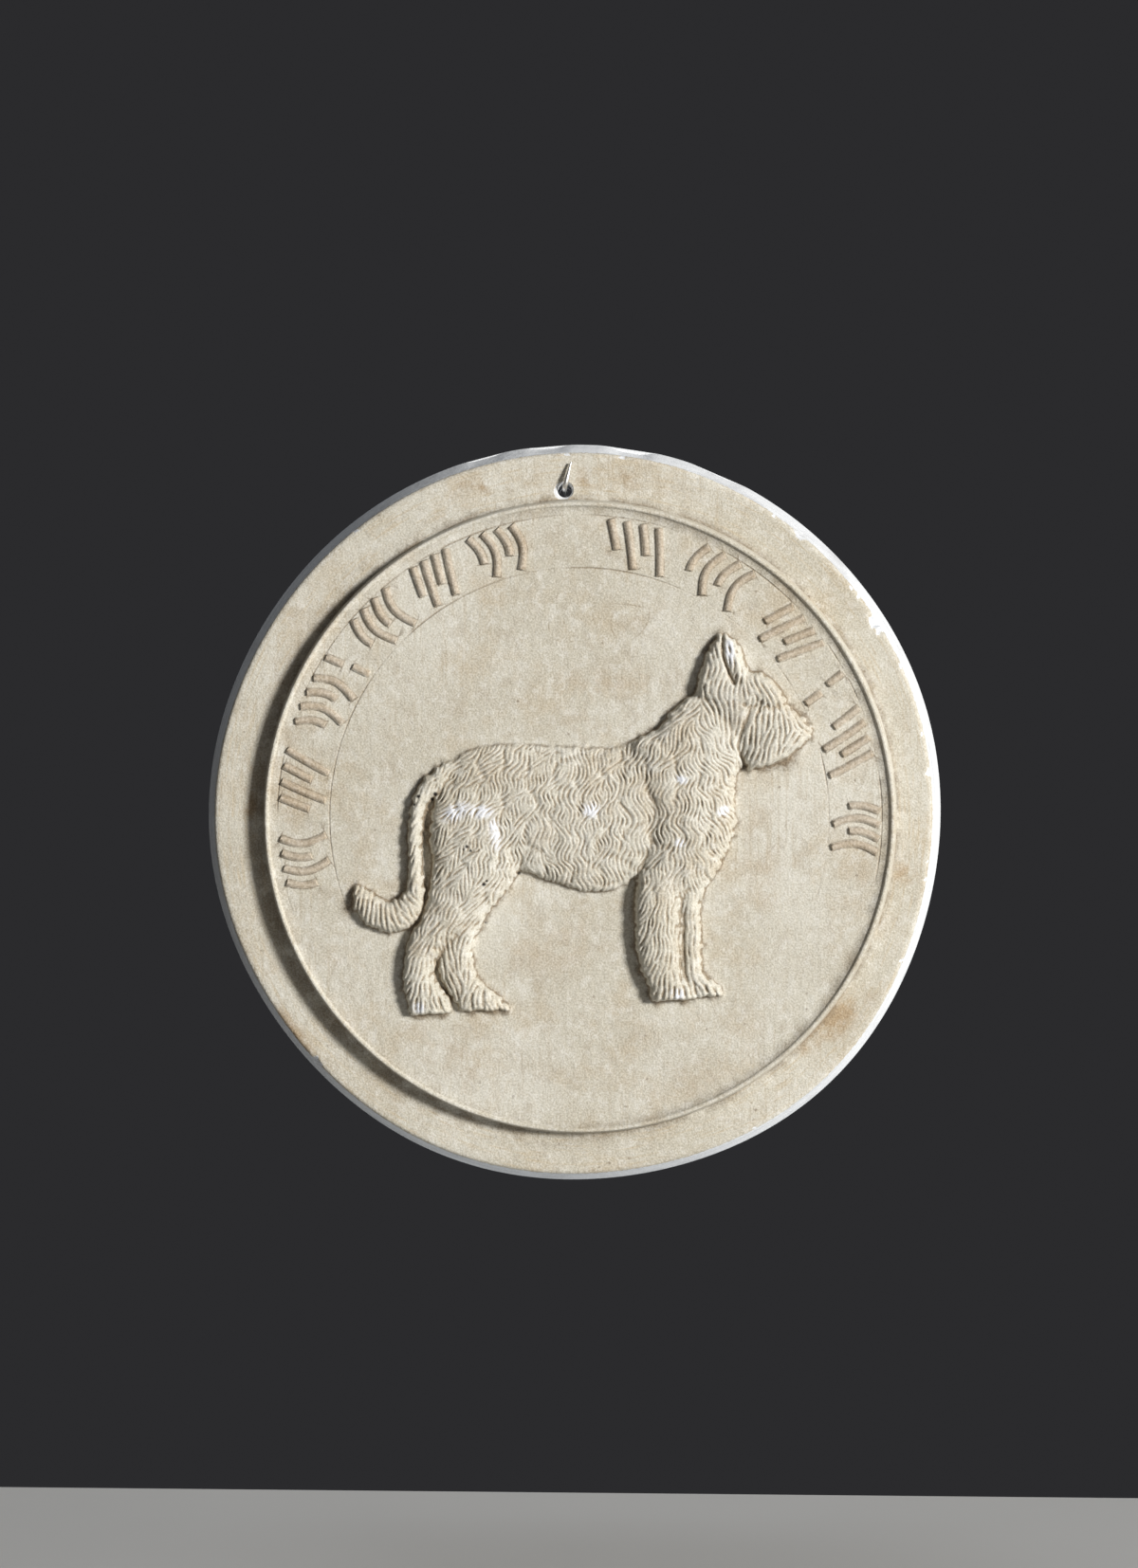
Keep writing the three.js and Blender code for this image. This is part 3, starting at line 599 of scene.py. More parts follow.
    # Painted shadow on the side of the drum away from the light and on the rim beside it, where the drum's
    # shadow falls
    away = np.hypot(verts[:, 0], verts[:, 2])
    direction = np.arctan2(verts[:, 2], verts[:, 0])
    shadow_side = np.exp(-(np.angle(np.exp(1j * (direction - SHADOW_SIDE))) / SHADOW_SIDE_REACH) ** 4)
    beside = smooth_step(109.2, 110.2, away) * (1 - smooth_step(112.0, 119.5, away)) * (verts[:, 1] > -22.4)
    edge_dirt_and_shade_share = np.maximum(edge_dirt_and_shade_share, PAINTED_SHADOW_SHARE * shadow_side * beside)
    return verts, faces, field_range, marks, strokes, edge_dirt_and_shade_share


# The dog's forms and its coat

def dog_forms():
    """Smooth arched skins of all the forms, as a helper that the field is pressed against"""
    verts = []
    faces = []
    along_steps = 120
    across_steps = 44
    side = -np.cos(np.linspace(0, math.pi, across_steps + 1))
    share = (side + 1) / 2
    for (first_swell, second_swell), stations in DOG.values():
        rows = smooth_rows(stations, along_steps)
        swell = (1 - side ** 2) ** np.where(side < 0, first_swell, second_swell)
        start = sum(len(part) for part in verts)
        height = RELIEF_EDGE + (rows[:, 4:5] - RELIEF_EDGE) * swell[None, :]
        place = rows[:, None, 0:2] * (1 - share)[None, :, None] + rows[:, None, 2:4] * share[None, :, None]
        skin = np.stack([place[..., 0], -(FIELD_DEPTH + height), place[..., 1]], axis=-1)
        verts.append(skin.reshape(-1, 3))
        corner = start + np.arange(along_steps)[:, None] * (across_steps + 1) + np.arange(across_steps)
        corner = corner.ravel()
        below = corner + across_steps + 1
        faces.append(np.stack([corner, corner + 1, below + 1, below], axis=1))
    return np.vstack(verts) * MM, np.vstack(faces)


def drift(x, z, size, seed):
    """Slow wandering value over the field, between about -1 and 1"""
    rng = np.random.default_rng(seed)
    total = np.zeros_like(x)
    for _ in range(7):
        heading = rng.uniform(0, 2 * math.pi)
        pace = 2 * math.pi / (size * rng.uniform(0.7, 1.6))
        run = x * math.cos(heading) + z * math.sin(heading)
        total += np.sin(run * pace + rng.uniform(0, 2 * math.pi))
    return total / 3.5


def hashed(column, row, seed):
    """A fixed number between 0 and 1 for each cell of a grid"""
    return np.modf(np.abs(np.sin(column * 12.9898 + row * 78.233 + seed * 3.7)) * 43758.5453)[0]


def lock_cells(x, z):
    """For each point a dome over the lock it lies in, and two numbers that belong to that lock"""
    wide, tall = LOCK_SIZE
    column = np.floor(x / wide)
    row = np.floor(z / tall)
    nearest = np.full_like(x, 9.0)
    second = np.full_like(x, 9.0)
    lean = np.zeros_like(x)
    vigour = np.zeros_like(x)
    for step_x in (-1, 0, 1):
        for step_z in (-1, 0, 1):
            c = column + step_x
            r = row + step_z
            root_x = (c + 0.5 + 0.8 * (hashed(c, r, 1) - 0.5)) * wide
            root_z = (r + 0.5 + 0.8 * (hashed(c, r, 2) - 0.5)) * tall
            away = np.hypot((x - root_x) / wide, (z - root_z) / tall)
            closer = away < nearest
            second = np.where(closer, nearest, np.minimum(second, away))
            lean = np.where(closer, hashed(c, r, 3) * 2 - 1, lean)
            vigour = np.where(closer, hashed(c, r, 4), vigour)
            nearest = np.where(closer, away, nearest)
    return smooth_step(0.0, 0.55, second - nearest), lean, vigour


def drawing_filters(shape, pitch):
    """Filters that draw noise out into strands, one for each direction"""
    fx = np.fft.rfftfreq(shape[1], COAT_STEP)[None, :]
    fz = np.fft.fftfreq(shape[0], COAT_STEP)[:, None]
    sharpness = 2 * (math.pi * STRAND_REACH) ** 2
    filters = []
    for k in range(COAT_TURNS):
        nx = math.cos(math.pi * k / COAT_TURNS) / pitch
        nz = math.sin(math.pi * k / COAT_TURNS) / pitch
        near = np.exp(-sharpness * ((fx - nx) ** 2 + (fz - nz) ** 2))
        filters.append(near + np.exp(-sharpness * ((fx + nx) ** 2 + (fz + nz) ** 2)))
    return filters


def combed_coat():
    """Height of the strands over a grid: noise drawn out, pass by pass, along the way the coat lies"""
    x0, x1, z0, z1 = COAT_BOX
    x, z = np.meshgrid(np.arange(x0, x1, COAT_STEP), np.arange(z0, z1, COAT_STEP))
    cosine = np.zeros_like(x)
    sine = np.zeros_like(x)
    wave = np.zeros_like(x)
    weight = np.zeros_like(x)
    for gx, gz, degrees, share in COAT_GUIDES:
        pull = 1 / ((x - gx) ** 2 + (z - gz) ** 2 + 4) ** 2
        double = math.radians(2 * degrees)
        cosine += pull * math.cos(double)
        sine += pull * math.sin(double)
        wave += pull * share
        weight += pull
    wave = wave / weight
    dome, lean, vigour = lock_cells(x + 1.5 * drift(x, z, 9, 8), z + 1.5 * drift(x, z, 9, 9))
    lie = 0.5 * np.arctan2(sine, cosine)
    phase = 2 * math.pi * (-z + 0.25 * x) / WAVE_LENGTH + 2.4 * drift(x, z, 26, 3) + 0.6 * lean
    swing = math.radians(WAVE_ANGLE) * wave * np.sin(phase)
    lock_turn = math.radians(LOCK_TURN) * lean * (0.4 + 0.6 * wave)
    lie = lie + swing + lock_turn + math.radians(6) * drift(x, z, 12, 5)
    turn = np.mod(lie / math.pi * COAT_TURNS + COAT_TURNS / 2, COAT_TURNS)
    lower = np.floor(turn).astype(int) % COAT_TURNS
    upper_share = turn - np.floor(turn)
    wavy = np.clip(smooth_step(0.15, 0.6, wave) * (0.7 + 0.45 * drift(x, z, 11, 31)), 0, 1)
    sets = [
        (drawing_filters(x.shape, STRAIGHT_PITCH), 1 - wavy),
        (drawing_filters(x.shape, WAVY_PITCH), wavy),
    ]
    coat = np.random.default_rng(11).normal(size=x.shape)
    for _ in range(COAT_PASSES):
        spectrum = np.fft.rfft2(coat)
        drawn = np.zeros_like(coat)
        for k in range(COAT_TURNS):
            share = np.where(lower == k, 1 - upper_share, 0)
            share = share + np.where((lower + 1) % COAT_TURNS == k, upper_share, 0)
            for filters, region in sets:
                drawn += share * region * np.fft.irfft2(spectrum * filters[k], s=coat.shape)
        coat = np.tanh(1.5 * drawn / drawn.std())
    groove = ((1 - coat) / 2) ** 2.2
    deep = (0.5 + 0.6 * vigour) * (0.8 + 0.45 * drift(x, z, 5, 21)) * (1.2 - 0.2 * wave)
    return (0.3 - groove) * deep * COAT_DEPTH + (dome - 0.6) * LOCK_DEPTH * (0.35 + 0.65 * wave)


def sample_coat(coat, x, z):
    column = np.clip((x - COAT_BOX[0]) / COAT_STEP, 0, coat.shape[1] - 1.001)
    row = np.clip((z - COAT_BOX[2]) / COAT_STEP, 0, coat.shape[0] - 1.001)
    i = column.astype(int)
    j = row.astype(int)
    u = column - i
    v = row - j
    low = coat[j, i] * (1 - u) + coat[j, i + 1] * u
    high = coat[j + 1, i] * (1 - u) + coat[j + 1, i + 1] * u
    return low * (1 - v) + high * v


def crease_depth(x, z):
    """Depth of the cut creases at each point"""
    deep = np.zeros_like(x)
    for knots, half_width, depth in CREASES:
        line = smooth_rows(knots, 40)
        away = np.hypot(x[:, None] - line[None, :, 0], z[:, None] - line[None, :, 1]).min(axis=1)
        deep = np.maximum(deep, depth * np.exp(-(away / half_width) ** 2))
    return deep


def spot_share(spots, x, z):
    """Soft ellipses at the listed places"""
    share = np.zeros_like(x)
    for sx, sz, half_x, half_z, turn in spots:
        angle = math.radians(turn)
        u = (x - sx) * math.cos(angle) + (z - sz) * math.sin(angle)
        v = -(x - sx) * math.sin(angle) + (z - sz) * math.cos(angle)
        share = np.maximum(share, 1 - smooth_step(0.35, 1.25, np.hypot(u / half_x, v / half_z)))
    return share


def speck_share(x, z):
    dark = np.zeros_like(x)
    for sx, sz, radius in SPECKS:
        dark = np.maximum(dark, 1 - smooth_step(0.5, 1.1, np.hypot(x - sx, z - sz) / radius))
    return dark


# Node trees

class Nodes:
    """Adds nodes to a tree and feeds their inputs with values or with other nodes' outputs"""

    def __init__(self, tree):
        self.tree = tree

    def add(self, kind, inputs=None, **settings):
        node = self.tree.nodes.new(kind)
        for name, value in settings.items():
            setattr(node, name, value)
        for key, value in (inputs or {}).items():
            self.feed(node.inputs[key], value)
        return node

    def feed(self, socket, value):
        if isinstance(value, bpy.types.NodeSocket):
            self.tree.links.new(value, socket)
        else:
            socket.default_value = value

    def math(self, operation, *values):
        inputs = dict(enumerate(values))
        return self.add("ShaderNodeMath", inputs, operation=operation).outputs[0]

    def remap(self, value, low, high, to_low=0.0, to_high=1.0):
        inputs = {0: value, 1: low, 2: high, 3: to_low, 4: to_high}
        return self.add("ShaderNodeMapRange", inputs, interpolation_type="SMOOTHSTEP").outputs[0]


def inputs_for(tree, sockets):
    """Named inputs of a geometry tree, with the finished geometry as its output"""
    tree.interface.new_socket("Geometry", in_out="INPUT", socket_type="NodeSocketGeometry")
    names = {}
    for name, kind in sockets:
        names[name] = tree.interface.new_socket(name, in_out="INPUT", socket_type=kind).identifier
    tree.interface.new_socket("Geometry", in_out="OUTPUT", socket_type="NodeSocketGeometry")
    return names


def finish_tree(nodes, geometry, material):
    """Every tree ends in plain geometry that carries its material"""
    realized = nodes.add("GeometryNodeRealizeInstances", {"Geometry": geometry}).outputs[0]
    painted = nodes.add("GeometryNodeSetMaterial", {"Geometry": realized, "Material": material}).outputs[0]
    out = nodes.add("NodeGroupOutput")
    nodes.tree.links.new(painted, out.inputs[0])


def press_tree():
    """Presses the field against the dog's forms, then adds coat, creases and strokes"""
    tree = bpy.data.node_groups.new("press_relief", "GeometryNodeTree")
    names = inputs_for(tree, [
        ("Forms", "NodeSocketObject"), ("Field depth", "NodeSocketFloat"),
        ("Coat share", "NodeSocketFloat"),
        ("Stroke height", "NodeSocketFloat"), ("Highest", "NodeSocketFloat"), ("Soften", "NodeSocketInt"),
        ("Plaster", "NodeSocketMaterial"),
    ])
    nodes = Nodes(tree)
    given = nodes.add("NodeGroupInput").outputs

    def named(name):
        return nodes.add("GeometryNodeInputNamedAttribute", {"Name": name}, data_type="FLOAT").outputs[0]

    def store(geometry, name, value):
        inputs = {"Geometry": geometry, "Name": name, "Value": value}
        node = nodes.add("GeometryNodeStoreNamedAttribute", inputs, data_type="FLOAT", domain="POINT")
        return node.outputs[0]

    def blur(value, times):
        inputs = {"Value": value, "Iterations": times}
        return nodes.add("GeometryNodeBlurAttribute", inputs, data_type="FLOAT").outputs[0]

    position = nodes.add("GeometryNodeInputPosition").outputs[0]
    place = nodes.add("ShaderNodeSeparateXYZ", {0: position}).outputs
    tufted_x = nodes.math("ADD", place[0], named("tuft_x"))
    tufted_z = nodes.math("ADD", place[2], named("tuft_z"))
    start = nodes.add("ShaderNodeCombineXYZ", {0: tufted_x, 1: -0.2, 2: tufted_z}).outputs[0]
    forms = nodes.add("GeometryNodeObjectInfo", {"Object": given["Forms"]}, transform_space="RELATIVE")
    ray = nodes.add("GeometryNodeRaycast", {
        "Target Geometry": forms.outputs["Geometry"], "Source Position": start,
        "Ray Direction": (0, 1, 0), "Ray Length": 0.4,
    }).outputs
    touched = nodes.add("ShaderNodeSeparateXYZ", {0: ray["Hit Position"]}).outputs[1]
    rise = nodes.math("SUBTRACT", nodes.math("MULTIPLY", touched, -1.0), given["Field depth"])
    form = nodes.math("MULTIPLY", nodes.math("MULTIPLY", rise, ray["Is Hit"]), named("field"))
    geometry = store(given["Geometry"], "form", nodes.math("MAXIMUM", form, 0.0))
    geometry = store(geometry, "soft", blur(named("form"), given["Soften"]))
    dog = nodes.remap(named("soft"), 0.0003, 0.0016)
    geometry = store(geometry, "dog", dog)
    strands = nodes.math("MULTIPLY", named("coat"), given["Coat share"])
    strands = nodes.math("MULTIPLY", strands, named("dog"))
    carved = nodes.math("SUBTRACT", nodes.math("ADD", named("soft"), strands), named("crease"))
    raised = nodes.math("ADD", carved, nodes.math("MULTIPLY", named("stroke"), given["Stroke height"]))
    raised = nodes.math("MINIMUM", raised, given["Highest"])
    geometry = store(geometry, "relief", nodes.math("MULTIPLY", raised, named("field")))
    lift = nodes.math("MULTIPLY", named("relief"), -1.0)
    offset = nodes.add("ShaderNodeCombineXYZ", {1: lift}).outputs[0]
    geometry = nodes.add("GeometryNodeSetPosition", {"Geometry": geometry, "Offset": offset}).outputs[0]
    # Masks for the material: depth below the blurred relief for dirt and painted shade in the hollows, and
    # a ring round the dog's foot for painted shade with some dirt
    deep = nodes.math("SUBTRACT", blur(named("relief"), 7), named("relief"))
    hollow = nodes.math("DIVIDE", nodes.math("MULTIPLY", deep, named("dog")), MM)
    geometry = store(geometry, "hollow", hollow)
    beside = nodes.math("MULTIPLY", blur(named("dog"), 4), nodes.math("SUBTRACT", 1.0, named("dog")))
    geometry = store(geometry, "foot", beside)
    finish_tree(nodes, geometry, given["Plaster"])
    return tree, names


def wire_tree():
    """Draws a tapered round wire along a line of points"""
    tree = bpy.data.node_groups.new("bend_wire", "GeometryNodeTree")
    names = inputs_for(tree, [("Sides", "NodeSocketInt"), ("Steel", "NodeSocketMaterial")])
    nodes = Nodes(tree)
    given = nodes.add("NodeGroupInput").outputs
    thick = nodes.add("GeometryNodeInputNamedAttribute", {"Name": "thick"}, data_type="FLOAT").outputs[0]
    line = nodes.add("GeometryNodeMeshToCurve", {0: given["Geometry"]}).outputs[0]
    line = nodes.add("GeometryNodeSetCurveRadius", {"Curve": line, "Radius": thick}).outputs[0]
    section = nodes.add("GeometryNodeCurvePrimitiveCircle", {"Resolution": given["Sides"], "Radius": 1.0})
    sweep = nodes.add("GeometryNodeCurveToMesh", {
        "Curve": line, "Profile Curve": section.outputs[0], "Fill Caps": True,
    })
    if "Scale" in sweep.inputs:
        nodes.feed(sweep.inputs["Scale"], thick)
    finish_tree(nodes, sweep.outputs[0], given["Steel"])
    return tree, names


def new_object(name, verts, faces, edges=()):
    mesh = bpy.data.meshes.new(name)
    mesh.from_pydata(verts, list(edges), faces)
    mesh.update()
    piece = bpy.data.objects.new(name, mesh)
    bpy.context.scene.collection.objects.link(piece)
    return piece


def give_attribute(piece, name, values):
    layer = piece.data.attributes.new(name, "FLOAT", "POINT")
    layer.data.foreach_set("value", np.asarray(values, np.float32))


def run_tree(piece, tree, names, values):
    """Applies a geometry tree to a piece and leaves a plain mesh"""
    modifier = piece.modifiers.new("tree", "NODES")
    modifier.node_group = tree
    for name, value in values.items():
        modifier[names[name]] = value
    bpy.context.view_layer.update()
    evaluated = piece.evaluated_get(bpy.context.evaluated_depsgraph_get())
    made = bpy.data.meshes.new_from_object(evaluated)
    piece.modifiers.remove(modifier)
    piece.data = made
    made.name = piece.name
    return piece


# Pieces

def plaster_casting(material):
    verts, faces, (low, high), bare, strokes, edge_dirt_and_shade_share = casting_mesh()
    form_verts, form_faces = dog_forms()
    forms = new_object("dog_forms", form_verts.tolist(), form_faces.tolist())
    flat_faces = []
    for group in faces:
        flat_faces.extend(group.tolist())
    piece = new_object("plaster_medallion", (verts * MM).tolist(), flat_faces)
    field = np.zeros(len(verts))
    field[low:high] = 1
    x = verts[:, 0]
    z = verts[:, 2]
    strands = sample_coat(combed_coat(), x, z)
    give_attribute(piece, "field", field)
    give_attribute(piece, "tuft_x", TUFT_REACH * MM * drift(x, z, TUFT_SIZE, 41))
    give_attribute(piece, "tuft_z", TUFT_REACH * MM * drift(x, z, TUFT_SIZE, 42))
    give_attribute(piece, "coat", strands * MM * field)
    give_attribute(piece, "crease", crease_depth(x, z) * MM * field)
    give_attribute(piece, "stroke", strokes)
    give_attribute(piece, "bare", bare)
    give_attribute(piece, "worn", spot_share(WORN_SPOTS, x, z) * field)
    give_attribute(piece, "speck", speck_share(x, z) * field)
    # Dirt with painted shade in the corners and at the strokes' feet, and painted shadow on the drum's
    # shadow side
    give_attribute(piece, "seam", edge_dirt_and_shade_share)
    give_attribute(piece, "stain", spot_share(STAINS, x, z))
    tree, names = press_tree()
    run_tree(piece, tree, names, {
        "Forms": forms, "Field depth": FIELD_DEPTH * MM, "Coat share": 1.0,
        "Stroke height": STROKE_HEIGHT * MM, "Highest": RELIEF_TOP * MM, "Soften": 3, "Plaster": material,
    })
    bpy.data.objects.remove(forms)
    piece.data.shade_smooth()
    piece.data.set_sharp_from_angle(angle=math.radians(65))
    return piece


def wire_hook(material):
    rows = smooth_rows(HOOK_ROUTE, 60)
    line = np.stack([HOLE[0] + rows[:, 0], -rows[:, 2], HOLE[1] + rows[:, 1]], axis=1)
    edges = [(k, k + 1) for k in range(len(line) - 1)]
    piece = new_object("wire_hook", (line * MM).tolist(), [], edges)
    along = np.linspace(0, 1, len(line))
    thick = HOOK_RADIUS + (HOOK_TIP_RADIUS - HOOK_RADIUS) * smooth_step(0.55, 1.0, along)
    give_attribute(piece, "thick", thick * MM)
    tree, names = wire_tree()
    run_tree(piece, tree, names, {"Sides": 20, "Steel": material})
    piece.data.shade_smooth()
    piece.data.set_sharp_from_angle(angle=math.radians(50))
    return piece


# Materials

def new_material(name):
    material = bpy.data.materials.new(name)
    material.use_nodes = True
    nodes = Nodes(material.node_tree)
    return material, nodes, material.node_tree.nodes["Principled BSDF"]


def mix(nodes, share, first, second, blend="MIX"):
    node = nodes.add("ShaderNodeMix", data_type="RGBA", blend_type=blend)
    nodes.feed(node.inputs[0], share)
    nodes.feed(node.inputs[6], first)
    nodes.feed(node.inputs[7], second)
    return node.outputs[2]


def noise(nodes, coordinate, scale, detail=4.0, roughness=0.55):
    return nodes.add("ShaderNodeTexNoise", {
        "Vector": coordinate, "Scale": scale, "Detail": detail, "Roughness": roughness,
    }).outputs["Fac"]


def scratch_group():
    """A piece of a thin arc as a mask: distance from a circle, inside a round window"""
    group = bpy.data.node_groups.new("scratched_arc", "ShaderNodeTree")
    for name, kind in (
        ("Place", "NodeSocketVector"), ("Centre", "NodeSocketVector"), ("Radius", "NodeSocketFloat"),
        ("Middle", "NodeSocketVector"), ("Reach", "NodeSocketFloat"), ("Width", "NodeSocketFloat"),
    ):
        group.interface.new_socket(name, in_out="INPUT", socket_type=kind)
    group.interface.new_socket("Mask", in_out="OUTPUT", socket_type="NodeSocketFloat")
    nodes = Nodes(group)
    given = nodes.add("NodeGroupInput").outputs

    def distance(point):
        node = nodes.add("ShaderNodeVectorMath", {0: given["Place"], 1: point}, operation="DISTANCE")
        return node.outputs["Value"]

    off = nodes.math("ABSOLUTE", nodes.math("SUBTRACT", distance(given["Centre"]), given["Radius"]))
    line = nodes.remap(off, given["Width"], 0.0)
    half_reach = nodes.math("MULTIPLY", given["Reach"], 0.5)
    window = nodes.remap(distance(given["Middle"]), given["Reach"], half_reach)
    out = nodes.add("NodeGroupOutput")
    nodes.tree.links.new(nodes.math("MULTIPLY", line, window), out.inputs[0])
    return group


def plaster_material():
    material, nodes, shader = new_material("patinated_plaster")
    at = nodes.add("ShaderNodeTexCoord").outputs["Object"]
    place = nodes.add("ShaderNodeSeparateXYZ", {0: at}).outputs
    squares = nodes.math("ADD", nodes.math("POWER", place[0], 2.0), nodes.math("POWER", place[2], 2.0))
    radius = nodes.math("SQRT", squares)
    around = nodes.math("ARCTAN2", place[2], place[0])
    flat = nodes.add("ShaderNodeCombineXYZ", {0: place[0], 2: place[2]}).outputs[0]

    def mark(name):
        return nodes.add("ShaderNodeAttribute", attribute_name=name).outputs["Fac"]

    def times(*values):
        result = values[0]
        for value in values[1:]:
            result = nodes.math("MULTIPLY", result, value)
        return result

    def patches(scale, low, high, detail=5.0, roughness=0.6):
        return nodes.remap(noise(nodes, at, scale, detail, roughness), low, high)

    def streaks(coordinate, along, across, low, high):
        inputs = {"Vector": coordinate, "Scale": (across, 1.0, along)}
        stretched = nodes.add("ShaderNodeMapping", inputs).outputs[0]
        return nodes.remap(noise(nodes, stretched, 1.0, 4.0, 0.6), low, high)

    # Cream wash, greyer and tanner in clouds
    colour = mix(nodes, patches(17.0, 0.36, 0.64), (0.585, 0.55, 0.46, 1), (0.685, 0.66, 0.58, 1))
    colour = mix(nodes, times(patches(48.0, 0.46, 0.68, 7.0, 0.68), 0.5), colour, (0.53, 0.44, 0.31, 1))
    colour = mix(nodes, times(patches(120.0, 0.48, 0.68, 6.0, 0.7), 0.42), colour, (0.46, 0.40, 0.31, 1))
    colour = mix(nodes, times(patches(260.0, 0.48, 0.66, 5.0, 0.7), 0.42), colour, (0.80, 0.785, 0.73, 1))

    # Brush marks down the field, and streaks around the rim
    rim = nodes.remap(radius, 0.1095, 0.1115)
    brushed = times(streaks(flat, 45.0, 800.0, 0.5, 0.68), patches(20.0, 0.42, 0.58), 0.42)
    colour = mix(nodes, brushed, colour, (0.47, 0.40, 0.29, 1))
    ring = nodes.add("ShaderNodeCombineXYZ", {0: radius, 2: times(around, 0.12)}).outputs[0]
    turned = times(streaks(ring, 60.0, 900.0, 0.5, 0.68), rim, 0.6)
    colour = mix(nodes, turned, colour, (0.56, 0.47, 0.33, 1))
    stain_share = nodes.remap(rim, 0.0, 1.0, 0.34, 0.9)
    stained = times(mark("stain"), patches(90.0, 0.4, 0.62, 6.0, 0.65), stain_share)
    colour = mix(nodes, stained, colour, (0.42, 0.31, 0.19, 1))
    colour = mix(nodes, times(mark("stroke"), 0.5), colour, (0.52, 0.40, 0.28, 1))

    # Scratches, scribed guide circles and specks
    scratch = scratch_group()
    marks = None
    for centre_x, centre_z, bend, middle_x, middle_z, reach in SCRATCHES:
        arc = nodes.add("ShaderNodeGroup", node_tree=scratch)
        values = {
            "Place": flat, "Centre": (centre_x * MM, 0, centre_z * MM), "Radius": bend * MM,
            "Middle": (middle_x * MM, 0, middle_z * MM), "Reach": reach * MM, "Width": 0.00045,
        }
        for name, value in values.items():
            nodes.feed(arc.inputs[name], value)
        marks = arc.outputs[0] if marks is None else nodes.math("MAXIMUM", marks, arc.outputs[0])
    scribed = None
    for guide in GUIDE_CIRCLES:
        off = nodes.math("ABSOLUTE", nodes.math("SUBTRACT", radius, guide * MM))
        line = nodes.remap(off, 0.00042, 0.0001)
        scribed = line if scribed is None else nodes.math("MAXIMUM", scribed, line)
    upper = nodes.remap(place[2], -0.045, 0.0)
    front = nodes.remap(place[1], -0.012, -0.02)
    off_dog = nodes.math("SUBTRACT", 1.0, mark("dog"))
    scribed = times(scribed, upper, front, patches(40.0, 0.4, 0.6), off_dog)
    fine_lines = nodes.math("MAXIMUM", times(marks, patches(150.0, 0.35, 0.6), 0.55), times(scribed, 0.6))
    colour = mix(nodes, fine_lines, colour, (0.30, 0.23, 0.15, 1))
    dots = nodes.add("ShaderNodeTexVoronoi", {"Vector": at, "Scale": 190.0}).outputs["Distance"]
    dotted = times(nodes.remap(dots, 0.13, 0.06), patches(70.0, 0.5, 0.62))
    colour = mix(nodes, times(dotted, 0.6), colour, (0.22, 0.17, 0.12, 1))

    # Dirt and painted shade in the hollows and corners, rubbed white on the high spots, bare plaster at the
    # wall
    # Hollows of the relief darkened brown: partly dirt, partly painted shade
    dirt_and_shade = times(nodes.remap(mark("hollow"), -0.02, 0.18), 0.75)
    colour = mix(nodes, dirt_and_shade, colour, (0.27, 0.205, 0.13, 1))
    # Brown painted shade round the dog's foot and in the corners, with some dirt, and painted shadow on the
    # drum's shadow side
    foot = nodes.math("MAXIMUM", nodes.remap(mark("foot"), 0.02, 0.3), mark("seam"))
    colour = mix(nodes, times(foot, patches(170.0, 0.3, 0.6), 0.68), colour, (0.17, 0.12, 0.07, 1))
    high_spots = nodes.remap(mark("hollow"), 0.16, -0.02)
    rubbed = times(mark("worn"), patches(260.0, 0.28, 0.48, 4.0, 0.65), high_spots)
    colour = mix(nodes, rubbed, colour, (0.84, 0.86, 0.91, 1))
    wall = mix(nodes, patches(60.0, 0.5, 0.75), (0.83, 0.85, 0.87, 1), (0.66, 0.67, 0.68, 1))
    layers = nodes.add("ShaderNodeCombineXYZ", {0: place[1], 2: times(around, 0.12)}).outputs[0]
    trimmed = nodes.remap(place[1], -0.0003, -0.0012, 0.0, 0.6)
    wall = mix(nodes, times(streaks(layers, 25.0, 900.0, 0.48, 0.66), trimmed), wall, (0.52, 0.54, 0.58, 1))
    ragged = nodes.remap(noise(nodes, at, 700.0, 3.0), 0.3, 0.7, -0.35, 0.35)
    broken = nodes.math("ADD", mark("bare"), ragged)
    colour = mix(nodes, nodes.remap(broken, 0.35, 0.6), colour, wall)
    colour = mix(nodes, mark("speck"), colour, (0.015, 0.012, 0.01, 1))
    grain = noise(nodes, at, 1500.0, 2.0, 0.6)
    colour = mix(nodes, 0.4, colour, nodes.remap(grain, 0.3, 0.7), "SOFT_LIGHT")
    nodes.feed(shader.inputs["Base Color"], colour)
    shader.inputs["Roughness"].default_value = 0.85
    shader.inputs["Specular IOR Level"].default_value = 0.25
    pores = nodes.math("ADD", times(grain, 0.35), noise(nodes, at, 330.0, 5.0, 0.65))
    height = nodes.math("SUBTRACT", pores, times(scribed, 0.6))
    bump = nodes.add("ShaderNodeBump", {"Height": height, "Strength": 0.65, "Distance": 0.0006})
    nodes.feed(shader.inputs["Normal"], bump.outputs[0])
    return material


def steel_material():
    material, nodes, shader = new_material("dull_steel_wire")
    at = nodes.add("ShaderNodeTexCoord").outputs["Object"]
    tarnish = nodes.remap(noise(nodes, at, 700.0, 4.0, 0.6), 0.45, 0.7)
    colour = mix(nodes, tarnish, (0.86, 0.86, 0.85, 1), (0.52, 0.50, 0.46, 1))
    nodes.feed(shader.inputs["Base Color"], colour)
    shader.inputs["Metallic"].default_value = 1.0
    nodes.feed(shader.inputs["Roughness"], nodes.remap(tarnish, 0.0, 1.0, 0.42, 0.62))
    return material


def floor_material():
    material, nodes, shader = new_material("pale_floor")
    at = nodes.add("ShaderNodeTexCoord").outputs["Object"]
    colour = mix(nodes, noise(nodes, at, 6.0), (0.60, 0.60, 0.59, 1), (0.66, 0.66, 0.65, 1))
    nodes.feed(shader.inputs["Base Color"], colour)
    shader.inputs["Roughness"].default_value = 0.9
    return material


# Stage, light and camera

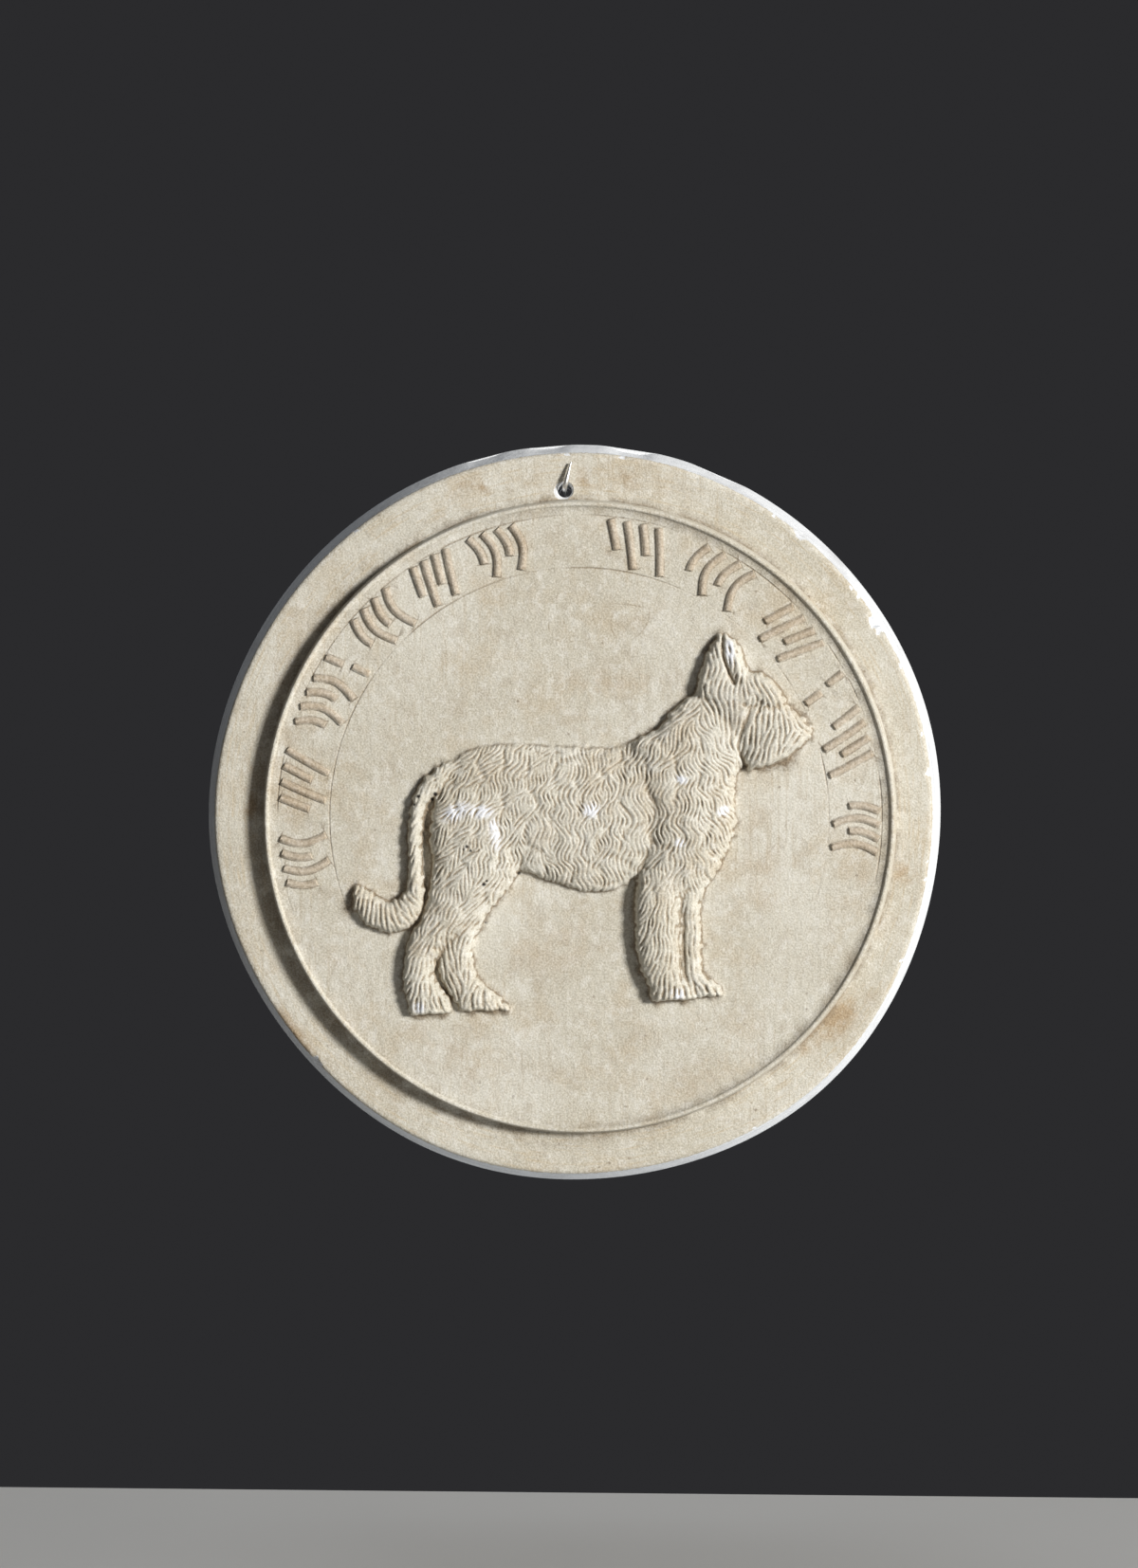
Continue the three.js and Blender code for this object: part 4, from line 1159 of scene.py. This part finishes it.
FLOOR_LEVEL = -250.0
CAMERA_REACH = 736.0
CAMERA_AZIMUTH = 1.6
CAMERA_ELEVATION = 0.8
CAMERA_TARGET = (-3.4, -16.0, 11.6)
CAMERA_LENS = 48.34


def add_floor():
    level = FLOOR_LEVEL * MM
    corners = [(-1.2, -1.5, level), (1.2, -1.5, level), (1.2, 0.02, level), (-1.2, 0.02, level)]
    floor = new_object("floor", corners, [(0, 1, 2, 3)])
    floor.data.materials.append(floor_material())


def add_light(name, place, size, power, colour):
    lamp = bpy.data.lights.new(name, "AREA")
    lamp.size = size
    lamp.energy = power
    lamp.color = colour
    lamp_object = bpy.data.objects.new(name, lamp)
    lamp_object.location = place
    lamp_object.rotation_euler = (-Vector(place)).to_track_quat("-Z", "Y").to_euler()
    bpy.context.scene.collection.objects.link(lamp_object)


def add_studio():
    around = math.radians(17)
    rise = math.radians(41)
    away = 5.0
    add_light("key", (away * math.cos(rise) * math.cos(around), -away * math.sin(rise),
                      away * math.cos(rise) * math.sin(around)), 0.85, 334.0, (1.0, 0.98, 0.95))
    add_light("fill", (0.2, -2.4, -0.5), 1.6, 1.3, (1.0, 0.85, 0.68))
    add_light("overhead", (-0.2, 0.3, 1.6), 0.8, 4.5, (0.93, 0.96, 1.0))
    add_light("under", (0.3, 0.45, -0.85), 0.5, 3.2, (0.95, 0.98, 1.0))
    world = bpy.data.worlds.new("studio")
    world.use_nodes = True
    backdrop = world.node_tree.nodes["Background"]
    backdrop.inputs["Color"].default_value = (0.024, 0.024, 0.026, 1)
    bpy.context.scene.world = world
    bpy.context.scene.view_settings.view_transform = "Standard"


def add_camera():
    azimuth = math.radians(CAMERA_AZIMUTH)
    elevation = math.radians(CAMERA_ELEVATION)
    target = Vector(CAMERA_TARGET) * MM
    heading = Vector((math.sin(azimuth) * math.cos(elevation), -math.cos(azimuth) * math.cos(elevation),
                      math.sin(elevation)))
    lens = bpy.data.cameras.new("camera")
    lens.lens = CAMERA_LENS
    lens.sensor_width = 36.0
    lens.clip_start = 0.01
    camera = bpy.data.objects.new("camera", lens)
    camera.location = target + heading * CAMERA_REACH * MM
    camera.rotation_euler = (-heading).to_track_quat("-Z", "Y").to_euler()
    bpy.context.scene.collection.objects.link(camera)
    bpy.context.scene.camera = camera


add_camera()
add_floor()
add_studio()

medallion = plaster_casting(plaster_material())
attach(medallion, "root")
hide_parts("plaque")

hook = wire_hook(steel_material())
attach(hook, "root")
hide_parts("hanging_hook")
